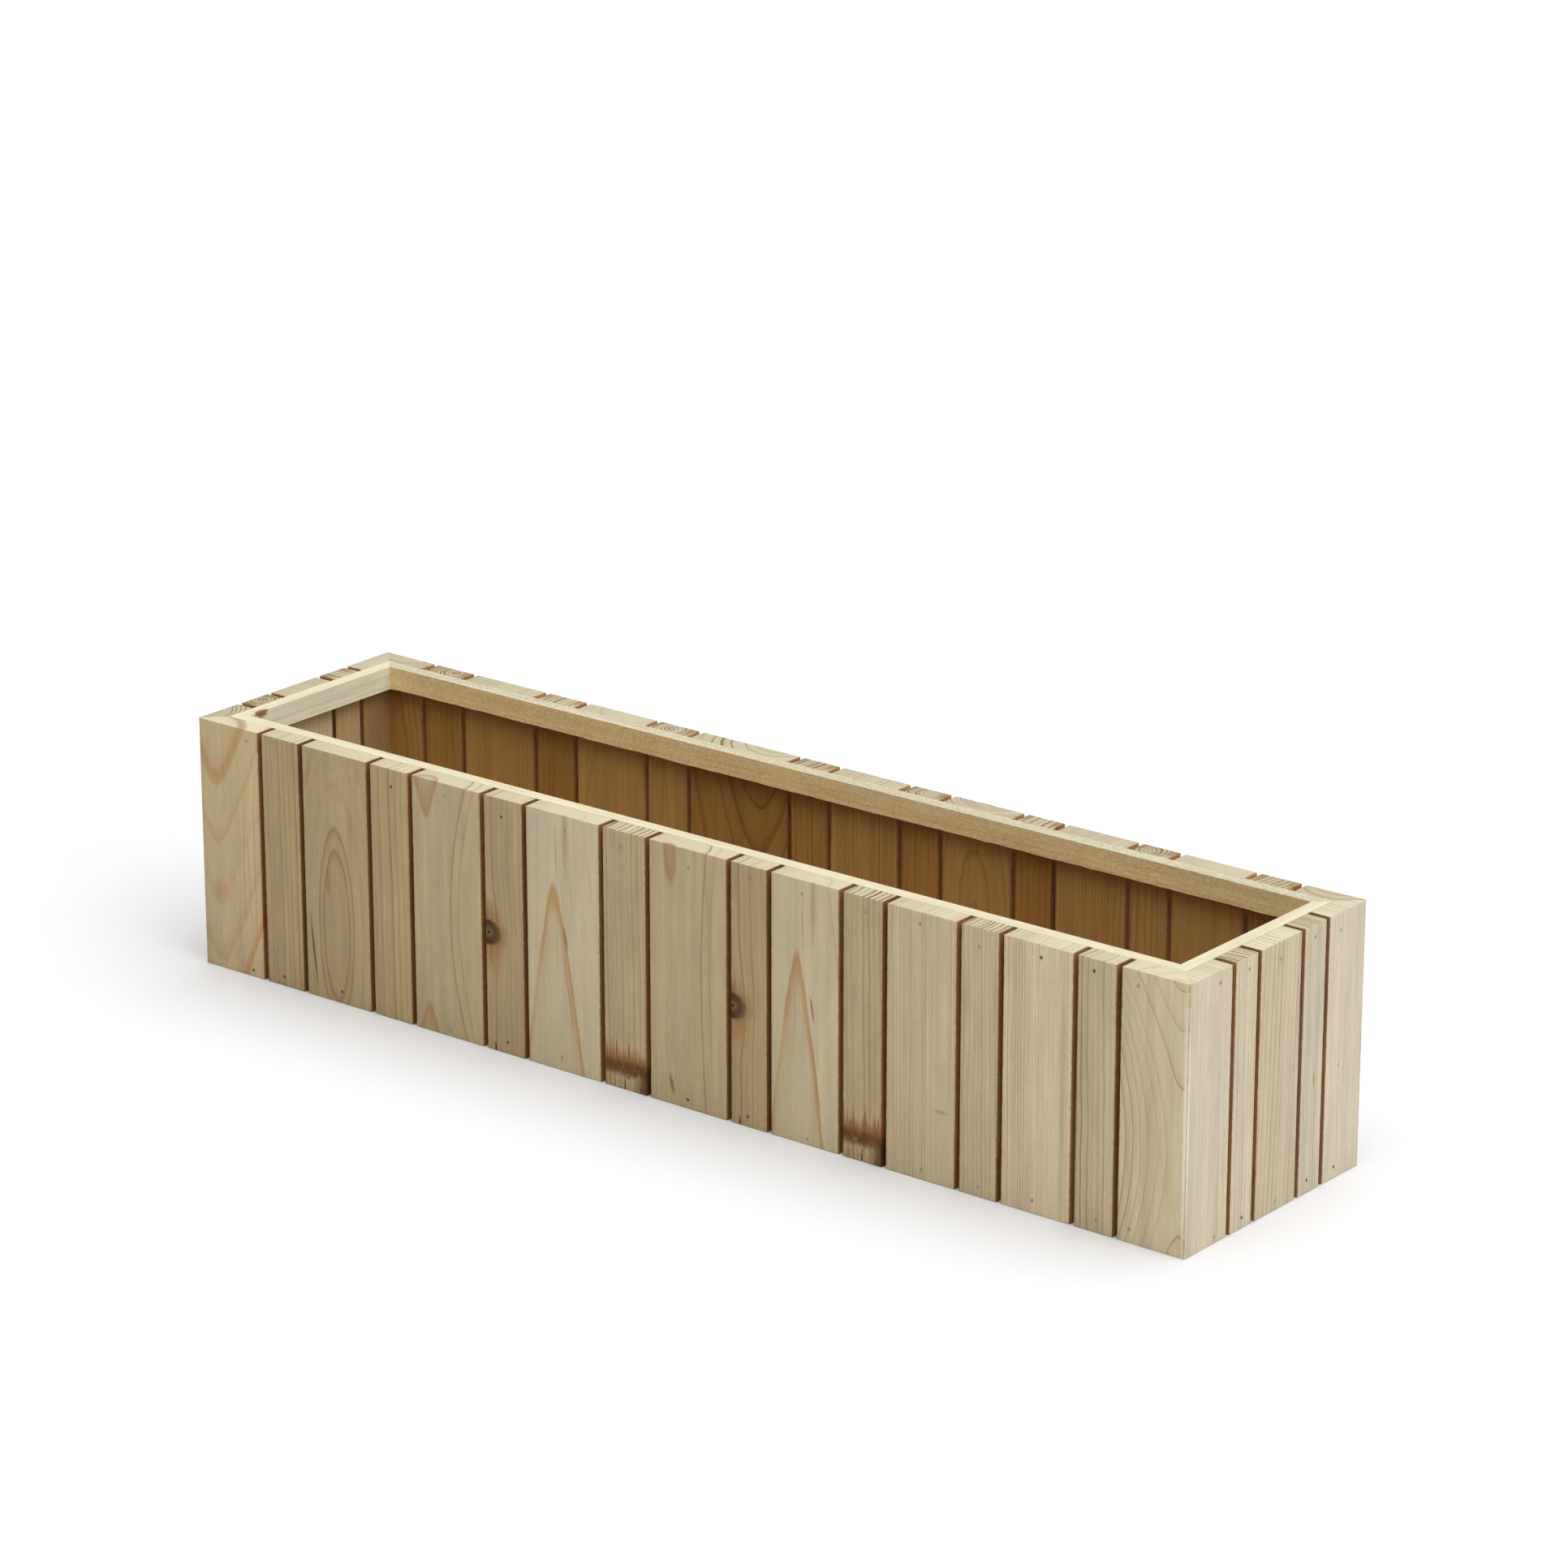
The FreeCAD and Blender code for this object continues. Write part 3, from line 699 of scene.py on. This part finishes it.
def modelNail(length):
    # Stands head up at the origin and points down
    pick()
    bpy.ops.mesh.primitive_cylinder_add(vertices=12, radius=nailShape["head"], depth=nailShape["headDepth"],
                                        location=(0, 0, -nailShape["headDepth"] / 2))
    nail = bpy.context.object
    applyPlace()

    def capAt(level):
        bpy.ops.mesh.select_all(action="DESELECT")
        bpy.ops.mesh.select_mode(type="FACE")
        bpy.ops.object.mode_set(mode="OBJECT")
        for face in nail.data.polygons:
            face.select = len(face.vertices) > 6 and abs(face.center.z - level) < 1e-6
        bpy.ops.object.mode_set(mode="EDIT")

    bpy.ops.object.mode_set(mode="EDIT")
    capAt(0)
    bpy.ops.mesh.inset(thickness=nailShape["domeEdge"])
    bpy.ops.transform.translate(value=(0, 0, nailShape["dome"]))
    capAt(-nailShape["headDepth"])
    bpy.ops.mesh.inset(thickness=nailShape["head"] - nailShape["shank"])
    bpy.ops.mesh.extrude_region_move(TRANSFORM_OT_translate={
        "value": (0, 0, -(length - nailShape["headDepth"] - nailShape["tip"]))})
    bpy.ops.mesh.extrude_region_move(TRANSFORM_OT_translate={"value": (0, 0, -nailShape["tip"])})
    bpy.ops.transform.resize(value=(nailShape["tipShare"], nailShape["tipShare"], 1))
    faceOut()
    return nail


def nailGroup(node):
    found = nails[node]
    pattern = modelNail(found[0][2] - nailShape["sunk"] - nailShape["dome"])
    copies = []
    for head, direction, _ in found:
        copy = pattern.copy()
        copy.data = pattern.data.copy()
        bpy.context.scene.collection.objects.link(copy)
        turn = Vector((0, 0, -1)).rotation_difference(direction).to_matrix().to_4x4()
        sunkHead = head + direction * (nailShape["sunk"] + nailShape["dome"])
        copy.data.transform(Matrix.Translation(sunkHead) @ turn)
        copies.append(copy)
    bpy.data.objects.remove(pattern)
    pick(*copies)
    bpy.ops.object.join()
    group = bpy.context.object
    group.name = node + "_brads"
    bpy.ops.object.shade_smooth_by_angle(angle=nailShape["smooth"])
    return group


def nailMaterial():
    material = newMaterial("weathered_brad")
    tree = material.node_tree
    spot = Value(addNode(tree, "TexCoord", {}).outputs["Object"])
    spots = noise(spot, (900, 900, 900), 2.0, 3.0, 0.6)
    each = noise(spot, (23, 23, 23), 5.0, 0.0)     # differs from nail to nail
    colour = blend(ramp(spots, 0.4, 0.65), tint(172, 164, 154), tint(142, 128, 112))
    colour = blend(ramp(each, 0.54, 0.6), colour, tint(70, 50, 36))
    inputs = {"Metallic": 0.25, "Base Color": colour, "Roughness": ramp(spots, 0.3, 0.7, 0.42, 0.7)}
    finishShader(tree, inputs, spots, 0.3, 0.2 * millimetre)
    return material


def dimpleCutter(head, direction):
    # A shallow tapered hole in which the head sits, a little under the face
    pick()
    bpy.ops.mesh.primitive_cone_add(vertices=14, radius1=nailShape["dimple"],
                                    radius2=nailShape["dimpleFloor"], depth=nailShape["dimpleDepth"])
    cutter = bpy.context.object
    turn = Vector((0, 0, 1)).rotation_difference(direction).to_matrix().to_4x4()
    cutter.data.transform(Matrix.Translation(head + direction * nailShape["dome"]) @ turn)
    return cutter


# The four walls of slats

# Per wall, the first tint is painted shade on the slats' side faces in the gaps, the second painted shade
# on their inner faces (on the left wall a painted lift of light instead)
wallFaces = {
    "front": {"across": Vector((1, 0, 0)), "inward": Vector((0, 1, 0)), "count": 17, "digits": 2,
              "paintedLightTint": (0.68, 0.47, 0.3, 1.0), "hiddenPaintedLight": (0.86, 0.64, 0.42, 1.0)},
    "back": {"across": Vector((-1, 0, 0)), "inward": Vector((0, -1, 0)), "count": 17, "digits": 2,
             "paintedLightTint": (1.1, 0.82, 0.56, 1.0), "hiddenPaintedLight": (0.9, 0.66, 0.36, 1.0)},
    "left": {"across": Vector((0, -1, 0)), "inward": Vector((1, 0, 0)), "count": 5, "digits": 1,
             "paintedLightTint": (0.9, 0.74, 0.56, 1.0), "hiddenPaintedLight": (1.15, 1.18, 1.16, 1.0)},
    "right": {"across": Vector((0, 1, 0)), "inward": Vector((-1, 0, 0)), "count": 5, "digits": 1,
              "paintedLightTint": (0.68, 0.47, 0.3, 1.0), "hiddenPaintedLight": (0.86, 0.64, 0.42, 1.0)},
}
wallDown = Vector((0, 0, -1))
wallRuns = {wall: Vector([abs(step) for step in face["across"]]) for wall, face in wallFaces.items()}


def mark(across, down, halfWidth, halfLength, colour, share, lean=0.0, soft=0.6, ragged=0.3, reach=4.0):
    return {"across": float(across), "down": float(down), "halfWidth": float(halfWidth),
            "halfLength": float(halfLength), "colour": colour, "share": share, "lean": lean,
            "soft": soft, "ragged": ragged, "reach": reach}


nailStain = {"halfWidth": 2.6, "halfLength": 3.4, "colour": stainBlue, "share": 0.4, "soft": 0.9,
             "ragged": 0.4}


def endOval(across, halfWidth):
    # A dark oval on the sawn top, paler within, where a hard ring runs out at the board's edge
    return [mark(across, 0, halfWidth, 1.6, tint(150, 116, 62), 0.75, 0.0, 0.55, 0.5, 17.0),
            mark(across, 0, halfWidth * 0.45, 1.4, tint(184, 156, 104), 0.6, 0.0, 0.8, 0.4, 12.0)]


knottyLook = dict(straight, tone="grey", pith=(-60.0, 8.0), spacing=5.6, push=6.5, marks=[
    mark(9, 214, 1.3, 6, pitchBrown, 0.8, 0.1),
    mark(1.5, 108, 3.5, 12, tint(84, 52, 24), 0.7, 0.0, 0.9, 0.5),
    mark(10, 140, 12, 20, tint(176, 130, 72), 0.45, 0.0, 0.9, 0.6)])
archLook = {
    "tone": "fair", "pith": (28.5, -6.8), "taper": 0.1549, "core": -3.1, "spacing": 34.0,
    "coreSpacing": 200.0, "wobble": 2.4, "phase": lineShare, "uneven": 0.0, "strongWidth": 1.0,
    "faint": 0.1, "line": 3.3, "blur": 1.6, "heartEdge": -3.1, "heartFade": 5.2,
    "heart": (tint(196, 156, 104), 0.75), "late": tint(180, 134, 82),
    "marks": [mark(41, 20, 4.5, 46, tint(150, 140, 108), 0.55, 0.0, 0.9, 0.3),
              mark(31, 34, 0.8, 32, resinRed, 0.5, 0.02, 0.8, 0.9),
              mark(14, 18, 13, 34, tint(214, 190, 168), 0.5, 0.0, 0.9, 0.3),
              mark(8, 160, 7, 62, tint(206, 186, 148), 0.45, -0.12, 0.8, 0.3),
              mark(43, 150, 0.9, 56, tint(168, 116, 66), 0.6, 0.15, 0.7, 0.5),
              mark(40.5, 104, 1.6, 14, tint(140, 88, 46), 0.8, 0.16, 0.8, 0.4)]}
scorchedLook = dict(
    straight, tone="tan", pith=(-44.0, 6.0), spacing=5.4, wobble=1.6, fibre=0.9, endDepth=1.9,
    scorch={"down": 191.0, "depthBand": 9.0, "flame": 23.0, "rightDark": 43.0})
tongueLook = {
    "tone": "tan", "pith": (15.0, -5.0), "bow": 0.00141, "bowDown": 112.0, "core": 25.9,
    "coreSpacing": 29.7, "spacing": 8.5, "phase": lineShare, "uneven": 0.0, "wobble": 1.2,
    "strongWidth": 1.5, "faint": 0.2, "heartEdge": -3.8, "heartFade": 11.0,
    "heart": (tint(172, 122, 72), 0.65), "ringDepth": 0.6, "line": 1.8, "blur": 1.1}

# The front boards have warmer tan tones, partly painted warm bounced light, and grow paler towards the
# right, partly painted light falling from the right; the rest is the boards' own tones
frontLooks = [
    {"tone": "tan", "gain": 1.12, "pith": (17.0, -15.0), "taper": -0.42, "core": 35.2, "coreSpacing": 30.0,
     "spacing": 22.0, "phase": lineShare, "uneven": 0.3, "wobble": 5.0, "line": 6.5, "blur": 2.6,
     "late": tint(186, 142, 92), "marks": [
         mark(19, 150, 14, 13, tint(190, 150, 100), 0.55, 0.0, 0.5, 1.2),
         mark(47, 110, 1.0, 90, tint(180, 138, 90), 0.6, -0.03, 0.8, 0.8),
         mark(52, 120, 0.9, 80, tint(180, 138, 90), 0.6, 0.04, 0.8, 0.8),
         mark(59, 110, 1.0, 95, tint(180, 138, 90), 0.5, 0.0, 0.8, 0.8)]},
    dict(straight, tone="grey", pith=(-66.0, 14.0), spacing=6.2, ringDepth=0.85),
    {"tone": "grey", "pith": (34.5, -25.0), "bow": -0.00095, "bowDown": 150.0, "core": 32.0,
     "coreSpacing": 2.6, "spacing": 7.8, "phase": lineShare, "uneven": 0.0, "wobble": 0.8,
     "strongRing": -0.5, "strongWidth": 1.0, "faint": 0.35, "ringDepth": 0.95, "line": 1.2,
     "marks": [mark(26, 113, 3.0, 17, resinRed, 0.5, 0.02),
               mark(8.4, 178, 1.5, 40, pitchBrown, 0.85, 0.105, 0.6, 0.6),
               mark(6, 24, 1.4, 17, resinRed, 0.5, -0.33, 0.8, 0.3)]},
    dict(straight, tone="grey", pith=(-52.0, 10.0), spacing=6.0, ringDepth=0.85, gain=1.05),
    dict(tongueLook, marks=[mark(16, 52, 1.0, 16, tint(206, 186, 140), 0.5, 3.0, 0.8, 0.2)]),
    dict(knottyLook, knot=(3.5, 116.4, 13.0, 11.0)),
    archLook,
    scorchedLook,
    dict(tongueLook, pith=(24.0, -5.0), bow=0.0004, core=29.0, heartEdge=-1000.0, marks=[
        mark(21, 8, 8.5, 29, tint(158, 106, 62), 0.5, 0.06, 0.4, 0.2),
        mark(21, 6, 5.5, 22, tint(186, 156, 112), 0.6, 0.04, 0.9, 0.2),
        mark(19, 55, 1.0, 19, tint(206, 186, 140), 0.5, 3.0, 0.8, 0.2),
        mark(22, 200, 2.6, 11, tint(110, 94, 76), 0.7, 0.25)]),
    dict(knottyLook, knot=(2.0, 119.0, 13.0, 11.0)),
    dict(archLook, pith=(25.5, -6.0), taper=0.1363, core=-2.7, heartEdge=-2.7),
    dict(scorchedLook, scorch={"down": 190.0, "depthBand": 9.0, "flame": 23.0, "rightDark": 38.0}),
    dict(fineGrain, tone="fair", gain=1.06, marks=[
        mark(53, 157, 10, 2.6, tint(146, 134, 106), 0.6, 0.0, 0.9, 0.6)]),
    dict(straight, tone="fair", pith=(-80.0, 10.0), spacing=4.2, ringDepth=0.8, endDepth=1.9),
    dict(fineGrain, tone="pale", pith=(-110.0, 4.0), spacing=2.5, gain=1.04, marks=[
        mark(56, 110, 4.0, 130, tint(164, 152, 128), 0.5, 0.0, 0.9, 0.3)]),
    dict(straight, tone="fair", pith=(-76.0, 16.0), spacing=4.9, ringDepth=0.9, gain=0.97),
    {"tone": "fair", "gain": 1.13, "pith": (56.0, -10.0), "bow": 0.00212, "bowDown": 140.0, "core": 17.8,
     "coreSpacing": 15.3, "spacing": 6.6, "phase": lineShare, "uneven": 0.6, "wobble": 1.8,
     "ringDepth": 0.85, "line": 1.4,
     # The worn corner arris, with a painted highlight down the corner
     "marks": [mark(59, 110, 2.6, 160, tint(240, 232, 214), 0.9, 0.0, 0.9, 0.8)]},
]
rightLooks = [
    dict(fineGrain, tone="cream", pith=(-80.0, 6.0), spacing=2.4, ringDepth=0.5,
         # The worn corner arris, with a painted highlight down the corner
         marks=[mark(0, 110, 2.4, 160, tint(242, 235, 220), 0.9, 0.0, 0.9, 0.8)]),
    dict(fineGrain, tone="cream", pith=(-60.0, 2.0), spacing=3.0, ringDepth=0.7, endDepth=1.9),
    dict(straight, tone="dun", pith=(92.0, 9.0), taper=0.035, spacing=5.4, ringDepth=0.7, wobble=1.6),
    dict(fineGrain, tone="cream", pith=(-55.0, 8.0), spacing=3.4, ringDepth=0.7, endDepth=1.8, gain=0.95,
         marks=[mark(17.5, 126, 0.9, 9, pitchBrown, 0.7, 0.05)]),
    dict(fineGrain, tone="cream", pith=(-120.0, 14.0), spacing=3.0, ringDepth=0.4,
         marks=[mark(18, 124, 1.6, 2.2, resinRed, 0.5)]),
]
plainLooks = [
    dict(fineGrain, tone="fair", pith=(-90.0, 12.0), spacing=3.1),
    archLook,
    {"tone": "grey", "pith": (30.0, -18.0), "taper": -0.2, "spacing": 9.5, "wobble": 2.6, "ringDepth": 0.85,
     "endDepth": 1.0},
    dict(straight, tone="fair", pith=(100.0, 14.0), spacing=4.4),
    {"tone": "fair", "pith": (36.0, -22.0), "bow": -0.0009, "bowDown": 90.0, "spacing": 4.0, "wobble": 1.8,
     "faint": 0.4, "endDepth": 1.0},
]
narrowLooks = [
    dict(straight, tone="tan", pith=(14.0, 8.0), spacing=3.1, ringDepth=0.7, endDepth=1.7),
    dict(straight, tone="grey", pith=(-40.0, 6.0), spacing=5.6, ringDepth=0.8, endDepth=1.9),
    dict(straight, tone="fair", pith=(24.0, 11.0), spacing=3.6, ringDepth=0.7, endDepth=1.8),
    dict(straight, tone="tan", pith=(70.0, 3.0), spacing=4.8, ringDepth=0.8, endDepth=1.9),
]


def slatLook(wall, index):
    if wall == "front":
        return dict(frontLooks[index])
    if wall == "right":
        return dict(rightLooks[index])
    looks = narrowLooks if index % 2 else plainLooks
    return dict(looks[(index // 2 + len(wall)) % len(looks)])


outerLow = Vector((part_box("left_slat_1")[0].x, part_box("front_slat_01")[0].y, 0))
outerHigh = Vector((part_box("right_slat_1")[1].x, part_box("back_slat_01")[1].y, 0))


def slatMitre(wall, index):
    # The corner slats' mitre: through the outer corner, at 45 degrees in plan
    face = wallFaces[wall]
    last = face["count"] - 1
    if index not in (0, last):
        return []
    toCorner = wallRuns[wall] * (-1 if index == 0 else 1)
    corner = cornerOf(outerLow, outerHigh, toCorner - face["inward"])
    diagonal = (toCorner - face["inward"]).normalized()
    flat = (corner - diagonal * arris["cornerFlat"], diagonal)
    return [(corner, (toCorner + face["inward"]).normalized()), flat]


splits = {
    "front_slat_06": [(9.0, 1.3, 9.0)],
    "front_slat_08": [(21.0, 2.0, 13.0), (37.0, 1.0, 7.0)],
    "front_slat_10": [(8.0, 1.2, 8.0)],
    "front_slat_12": [(19.0, 2.0, 12.0), (32.0, 0.9, 6.0)],
}


def splitCutter(board, across, width, height):
    # A thin wedge open at the slat's foot, its point up the grain
    pick()
    foot = board["corner"] + board["down"] * boxHeight * millimetre + board["across"] * across * millimetre
    bpy.ops.mesh.primitive_cube_add(size=1)
    wedge = bpy.context.object
    bpy.ops.object.mode_set(mode="EDIT")
    pickEdges(wedge, lambda first, second: first.z > 0 and second.z > 0)
    bpy.ops.transform.resize(value=(0.1, 1, 1))
    bpy.ops.object.mode_set(mode="OBJECT")
    turn = Matrix((board["across"], board["inward"], -board["down"])).transposed().to_4x4()
    size = Matrix.Diagonal((width * millimetre, 14 * millimetre, height * 1.2 * millimetre, 1))
    centre = foot - board["down"] * height * 0.4 * millimetre + board["inward"] * 5 * millimetre
    wedge.data.transform(Matrix.Translation(centre) @ turn @ size)
    return wedge


def makeSlat(wall, index):
    face = wallFaces[wall]
    name = "%s_slat_%0*d" % (wall, face["digits"], index + 1)
    low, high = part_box(name)
    corner = cornerOf(high, low, face["across"] + face["inward"] + wallDown)
    # The shade entries paint shade on the side faces in the gaps and on the inner face, and a painted
    # shadow under the top rail
    board = {"across": face["across"], "inward": face["inward"], "down": wallDown, "corner": corner,
             "width": abs((high - low).dot(face["across"])) * perMetre,
             "shade": {"paintedLightAxis": face["across"], "paintedLightTint": face["paintedLightTint"],
                       "hiddenFace": face["inward"], "hiddenPaintedLight": face["hiddenPaintedLight"], "underRail": 0.55}}
    back = cornerOf(low, high, face["inward"])
    cuts = slatMitre(wall, index)
    piece = sawnBoard(name, 2, cuts[:1], cuts[1:], [(back, face["inward"])], arris["waver"])
    stains = []
    for head, direction, _ in nails["top_nails"] + nails["bottom_nails"]:
        if reaches(low, high, head) and direction.dot(face["inward"]) > 0.9:
            cutAway(piece, dimpleCutter(head, direction))
            local = (head - corner) * perMetre
            stains.append(mark(local.dot(face["across"]), local.dot(wallDown), **nailStain))
    for across, width, height in splits.get(name, []):
        cutAway(piece, splitCutter(board, across, width, height))
    look = slatLook(wall, index)
    look["seed"] = 3.0 + index * 2.7 + len(wall) * 11.0
    look["marks"] = list(look.get("marks", []))
    if name == "left_slat_5":
        board["shade"]["hiddenPaintedLight"] = (0.72, 0.56, 0.38, 1.0)     # it stands in the corner's shade
    if wall in ("back", "left"):
        look["endGain"] = 0.88
        if index % 2:
            look["marks"] += endOval(4.0, 5.5) + endOval(board["width"] - 2.5, 3.6)
    look["marks"] += stains
    finishBoard(piece, name, boardMaterial(name, board, look))
    return piece


for wall, face in wallFaces.items():
    for index in range(face["count"]):
        makeSlat(wall, index)
    print("stage:", wall, "slats made")


# The two rings of rails

railLooks = {
    "top": {"tone": "butter", "pith": (40.0, 60.0), "taper": 0.004, "spacing": 4.0, "wobble": 2.0,
            "ringDepth": 0.35, "rough": 0.16},
    "bottom": {"tone": "fair", "pith": (-20.0, 50.0), "taper": 0.006, "spacing": 4.5, "wobble": 2.0,
               "ringDepth": 0.5, "rough": 0.2},
}
# Painted light on the rails' inner faces: the back ones lifted and warmed where the lamps leave them dim,
# the left ones lifted and cooled
railFaceLight = {
    "front": (1.0, 1.0, 1.0, 1.0), "right": (1.0, 1.0, 1.0, 1.0),
    "back": (1.5, 1.3, 0.96, 1.0), "left": (1.14, 1.22, 1.32, 1.0),
}
roughRail = {"rough": 0.9, "bump": 1.0, "coolShare": 0.2, "fibre": 0.8, "gritSize": 0.45}
railWaver = {"rough": 1.6 * millimetre, "planed": 0.3 * millimetre}


def makeRail(wall, level):
    name = wall + "_" + level + "_rail"
    face = wallFaces[wall]
    low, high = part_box(name)
    lengthwise = wallRuns[wall]
    mitres = []
    for toCorner in (-lengthwise, lengthwise):
        corner = cornerOf(low, high, toCorner - face["inward"])
        mitres.append((corner, (toCorner + face["inward"]).normalized()))
    crisp = [(low, -face["inward"]), (high, -face["inward"]), (high, Vector((0, 0, 1)))]
    rough = wall == "back" and level == "top"
    piece = sawnBoard(name, 0 if lengthwise.x else 1, mitres, [], crisp[1:] if rough else crisp,
                      railWaver["rough" if rough else "planed"])
    look = dict(railLooks[level])
    look["seed"] = 40.0 + len(wall) * 5.1 + len(level)
    if rough:
        look.update(roughRail)
    elif wall == "left" and level == "top":
        look["marks"] = [mark(12, 26, 5, 10, tint(150, 86, 42), 0.9, 0.0, 0.5, 0.9, 7.0)]
    # Painted shade on the rail's face against the slats, seen down the gaps, and painted light on its inner
    # face
    board = {"across": face["inward"], "inward": Vector((0, 0, -1)), "down": lengthwise,
             "corner": Vector((low.x, low.y, high.z)),
             "shade": {"hiddenFace": -face["inward"], "hiddenPaintedLight": (0.42, 0.28, 0.16, 1.0),
                       "paintedLightAxis": face["inward"], "paintedLightTint": railFaceLight[wall]}}
    finishBoard(piece, name, boardMaterial(name, board, look))


for level in ("top", "bottom"):
    for wall in wallFaces:
        makeRail(wall, level)
    print("stage:", level, "rails made")


# The floor: three boards on two battens

floorGrain = {"tone": "floor", "taper": 0.01, "spacing": 4.5, "wobble": 3.0}
floorLooks = {
    "floor_board_1": dict(floorGrain, pith=(40.0, -16.0), taper=0.03, spacing=5.0, seed=71.0),
    "floor_board_2": dict(floorGrain, pith=(-30.0, 20.0), spacing=5.5, seed=77.0),
    "floor_board_3": dict(floorGrain, pith=(30.0, 34.0), taper=0.02, seed=83.0),
    "floor_batten_left": dict(floorGrain, pith=(-20.0, 30.0), wobble=2.0, seed=89.0),
    "floor_batten_right": dict(floorGrain, pith=(-24.0, 26.0), wobble=2.0, seed=95.0),
}


def makeFloorBoard(name, look):
    low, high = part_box(name)
    runs, across = Vector((1, 0, 0)), Vector((0, 1, 0))
    if name.startswith("floor_batten"):
        runs, across = across, runs
    piece = sawnBoard(name, 0 if runs.x else 1, [], [], [], arris["waver"])
    for head, direction, _ in nails["floor_nails"]:
        if reaches(low, high, head) and abs(head.z - high.z) < 0.1 * millimetre:
            cutAway(piece, dimpleCutter(head, direction))
    board = {"across": across, "inward": Vector((0, 0, -1)), "down": runs,
             "corner": Vector((low.x, low.y, high.z)), "shade": {}}
    finishBoard(piece, name, boardMaterial(name, board, look))


for name, look in floorLooks.items():
    makeFloorBoard(name, look)
print("stage: floor made")

brad = nailMaterial()
for node in nails:
    group = nailGroup(node)
    group.data.materials.clear()
    group.data.materials.append(brad)
    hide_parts(node)
    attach(group, "root")
print("stage: nails driven")


# Floor, light and camera

studio = {
    "floorSize": 60.0, "floorCentre": (-8, 8, 0), "floorTone": (0.895, 0.905, 0.925, 1.0),
    "floorShade": (0.87, 0.875, 0.885, 1.0), "sky": 0.13,
    "lights": {     # strength, spread in degrees, and turn about X and Y
        "topLight": (2.78, 80, -4, 8), "sideLight": (0.8, 50, 4, 62), "frontLight": (0.22, 60, 52, 0),
    },
}


def makeStudio():
    pick()
    bpy.ops.mesh.primitive_plane_add(size=studio["floorSize"], location=studio["floorCentre"])
    ground = bpy.context.object
    ground.name = "ground"
    applyPlace()
    material = bpy.data.materials.new("pale_ground")
    material.use_nodes = True
    tree = material.node_tree
    shader = tree.nodes["Principled BSDF"]
    spot = Value(addNode(tree, "TexCoord", {}).outputs["Object"])
    shade = blend(noise(spot, (2.0, 2.0, 2.0), 1.0) * 0.02, studio["floorTone"], studio["floorShade"])
    for title, value in {"Roughness": 0.9, "Specular IOR Level": 0.1, "Base Color": shade}.items():
        feed(shader.inputs[title], value)
    ground.data.materials.append(material)
    for name, (strength, spread, turnX, turnY) in studio["lights"].items():
        light = bpy.data.lights.new(name, "SUN")
        light.energy = strength
        light.angle = math.radians(spread)
        lamp = bpy.data.objects.new(name, light)
        lamp.rotation_euler = (math.radians(turnX), math.radians(turnY), 0)
        bpy.context.scene.collection.objects.link(lamp)
    world = bpy.data.worlds.new("studio")
    bpy.context.scene.world = world
    world.use_nodes = True
    sky = world.node_tree.nodes["Background"]
    sky.inputs["Color"].default_value = (1.0, 1.0, 1.0, 1.0)
    sky.inputs["Strength"].default_value = studio["sky"]
    bpy.context.scene.view_settings.view_transform = "Standard"


shot = {"aim": Vector((-0.1510, 0.2252, 0.1422)), "turn": 38.67, "rise": 18.75, "distance": 4.761,
        "lens": 129.85}


def makeCamera():
    turn, rise = math.radians(shot["turn"]), math.radians(shot["rise"])
    direction = Vector((math.sin(turn) * math.cos(rise), -math.cos(turn) * math.cos(rise), math.sin(rise)))
    lens = bpy.data.cameras.new("camera")
    lens.lens = shot["lens"]
    lens.sensor_width = 36.0
    lens.clip_end = 200.0
    camera = bpy.data.objects.new("camera", lens)
    camera.location = shot["aim"] + direction * shot["distance"]
    camera.rotation_euler = (math.pi / 2 - rise, 0, turn)
    bpy.context.scene.collection.objects.link(camera)
    bpy.context.scene.camera = camera


makeStudio()
makeCamera()
print("stage: studio and camera set")
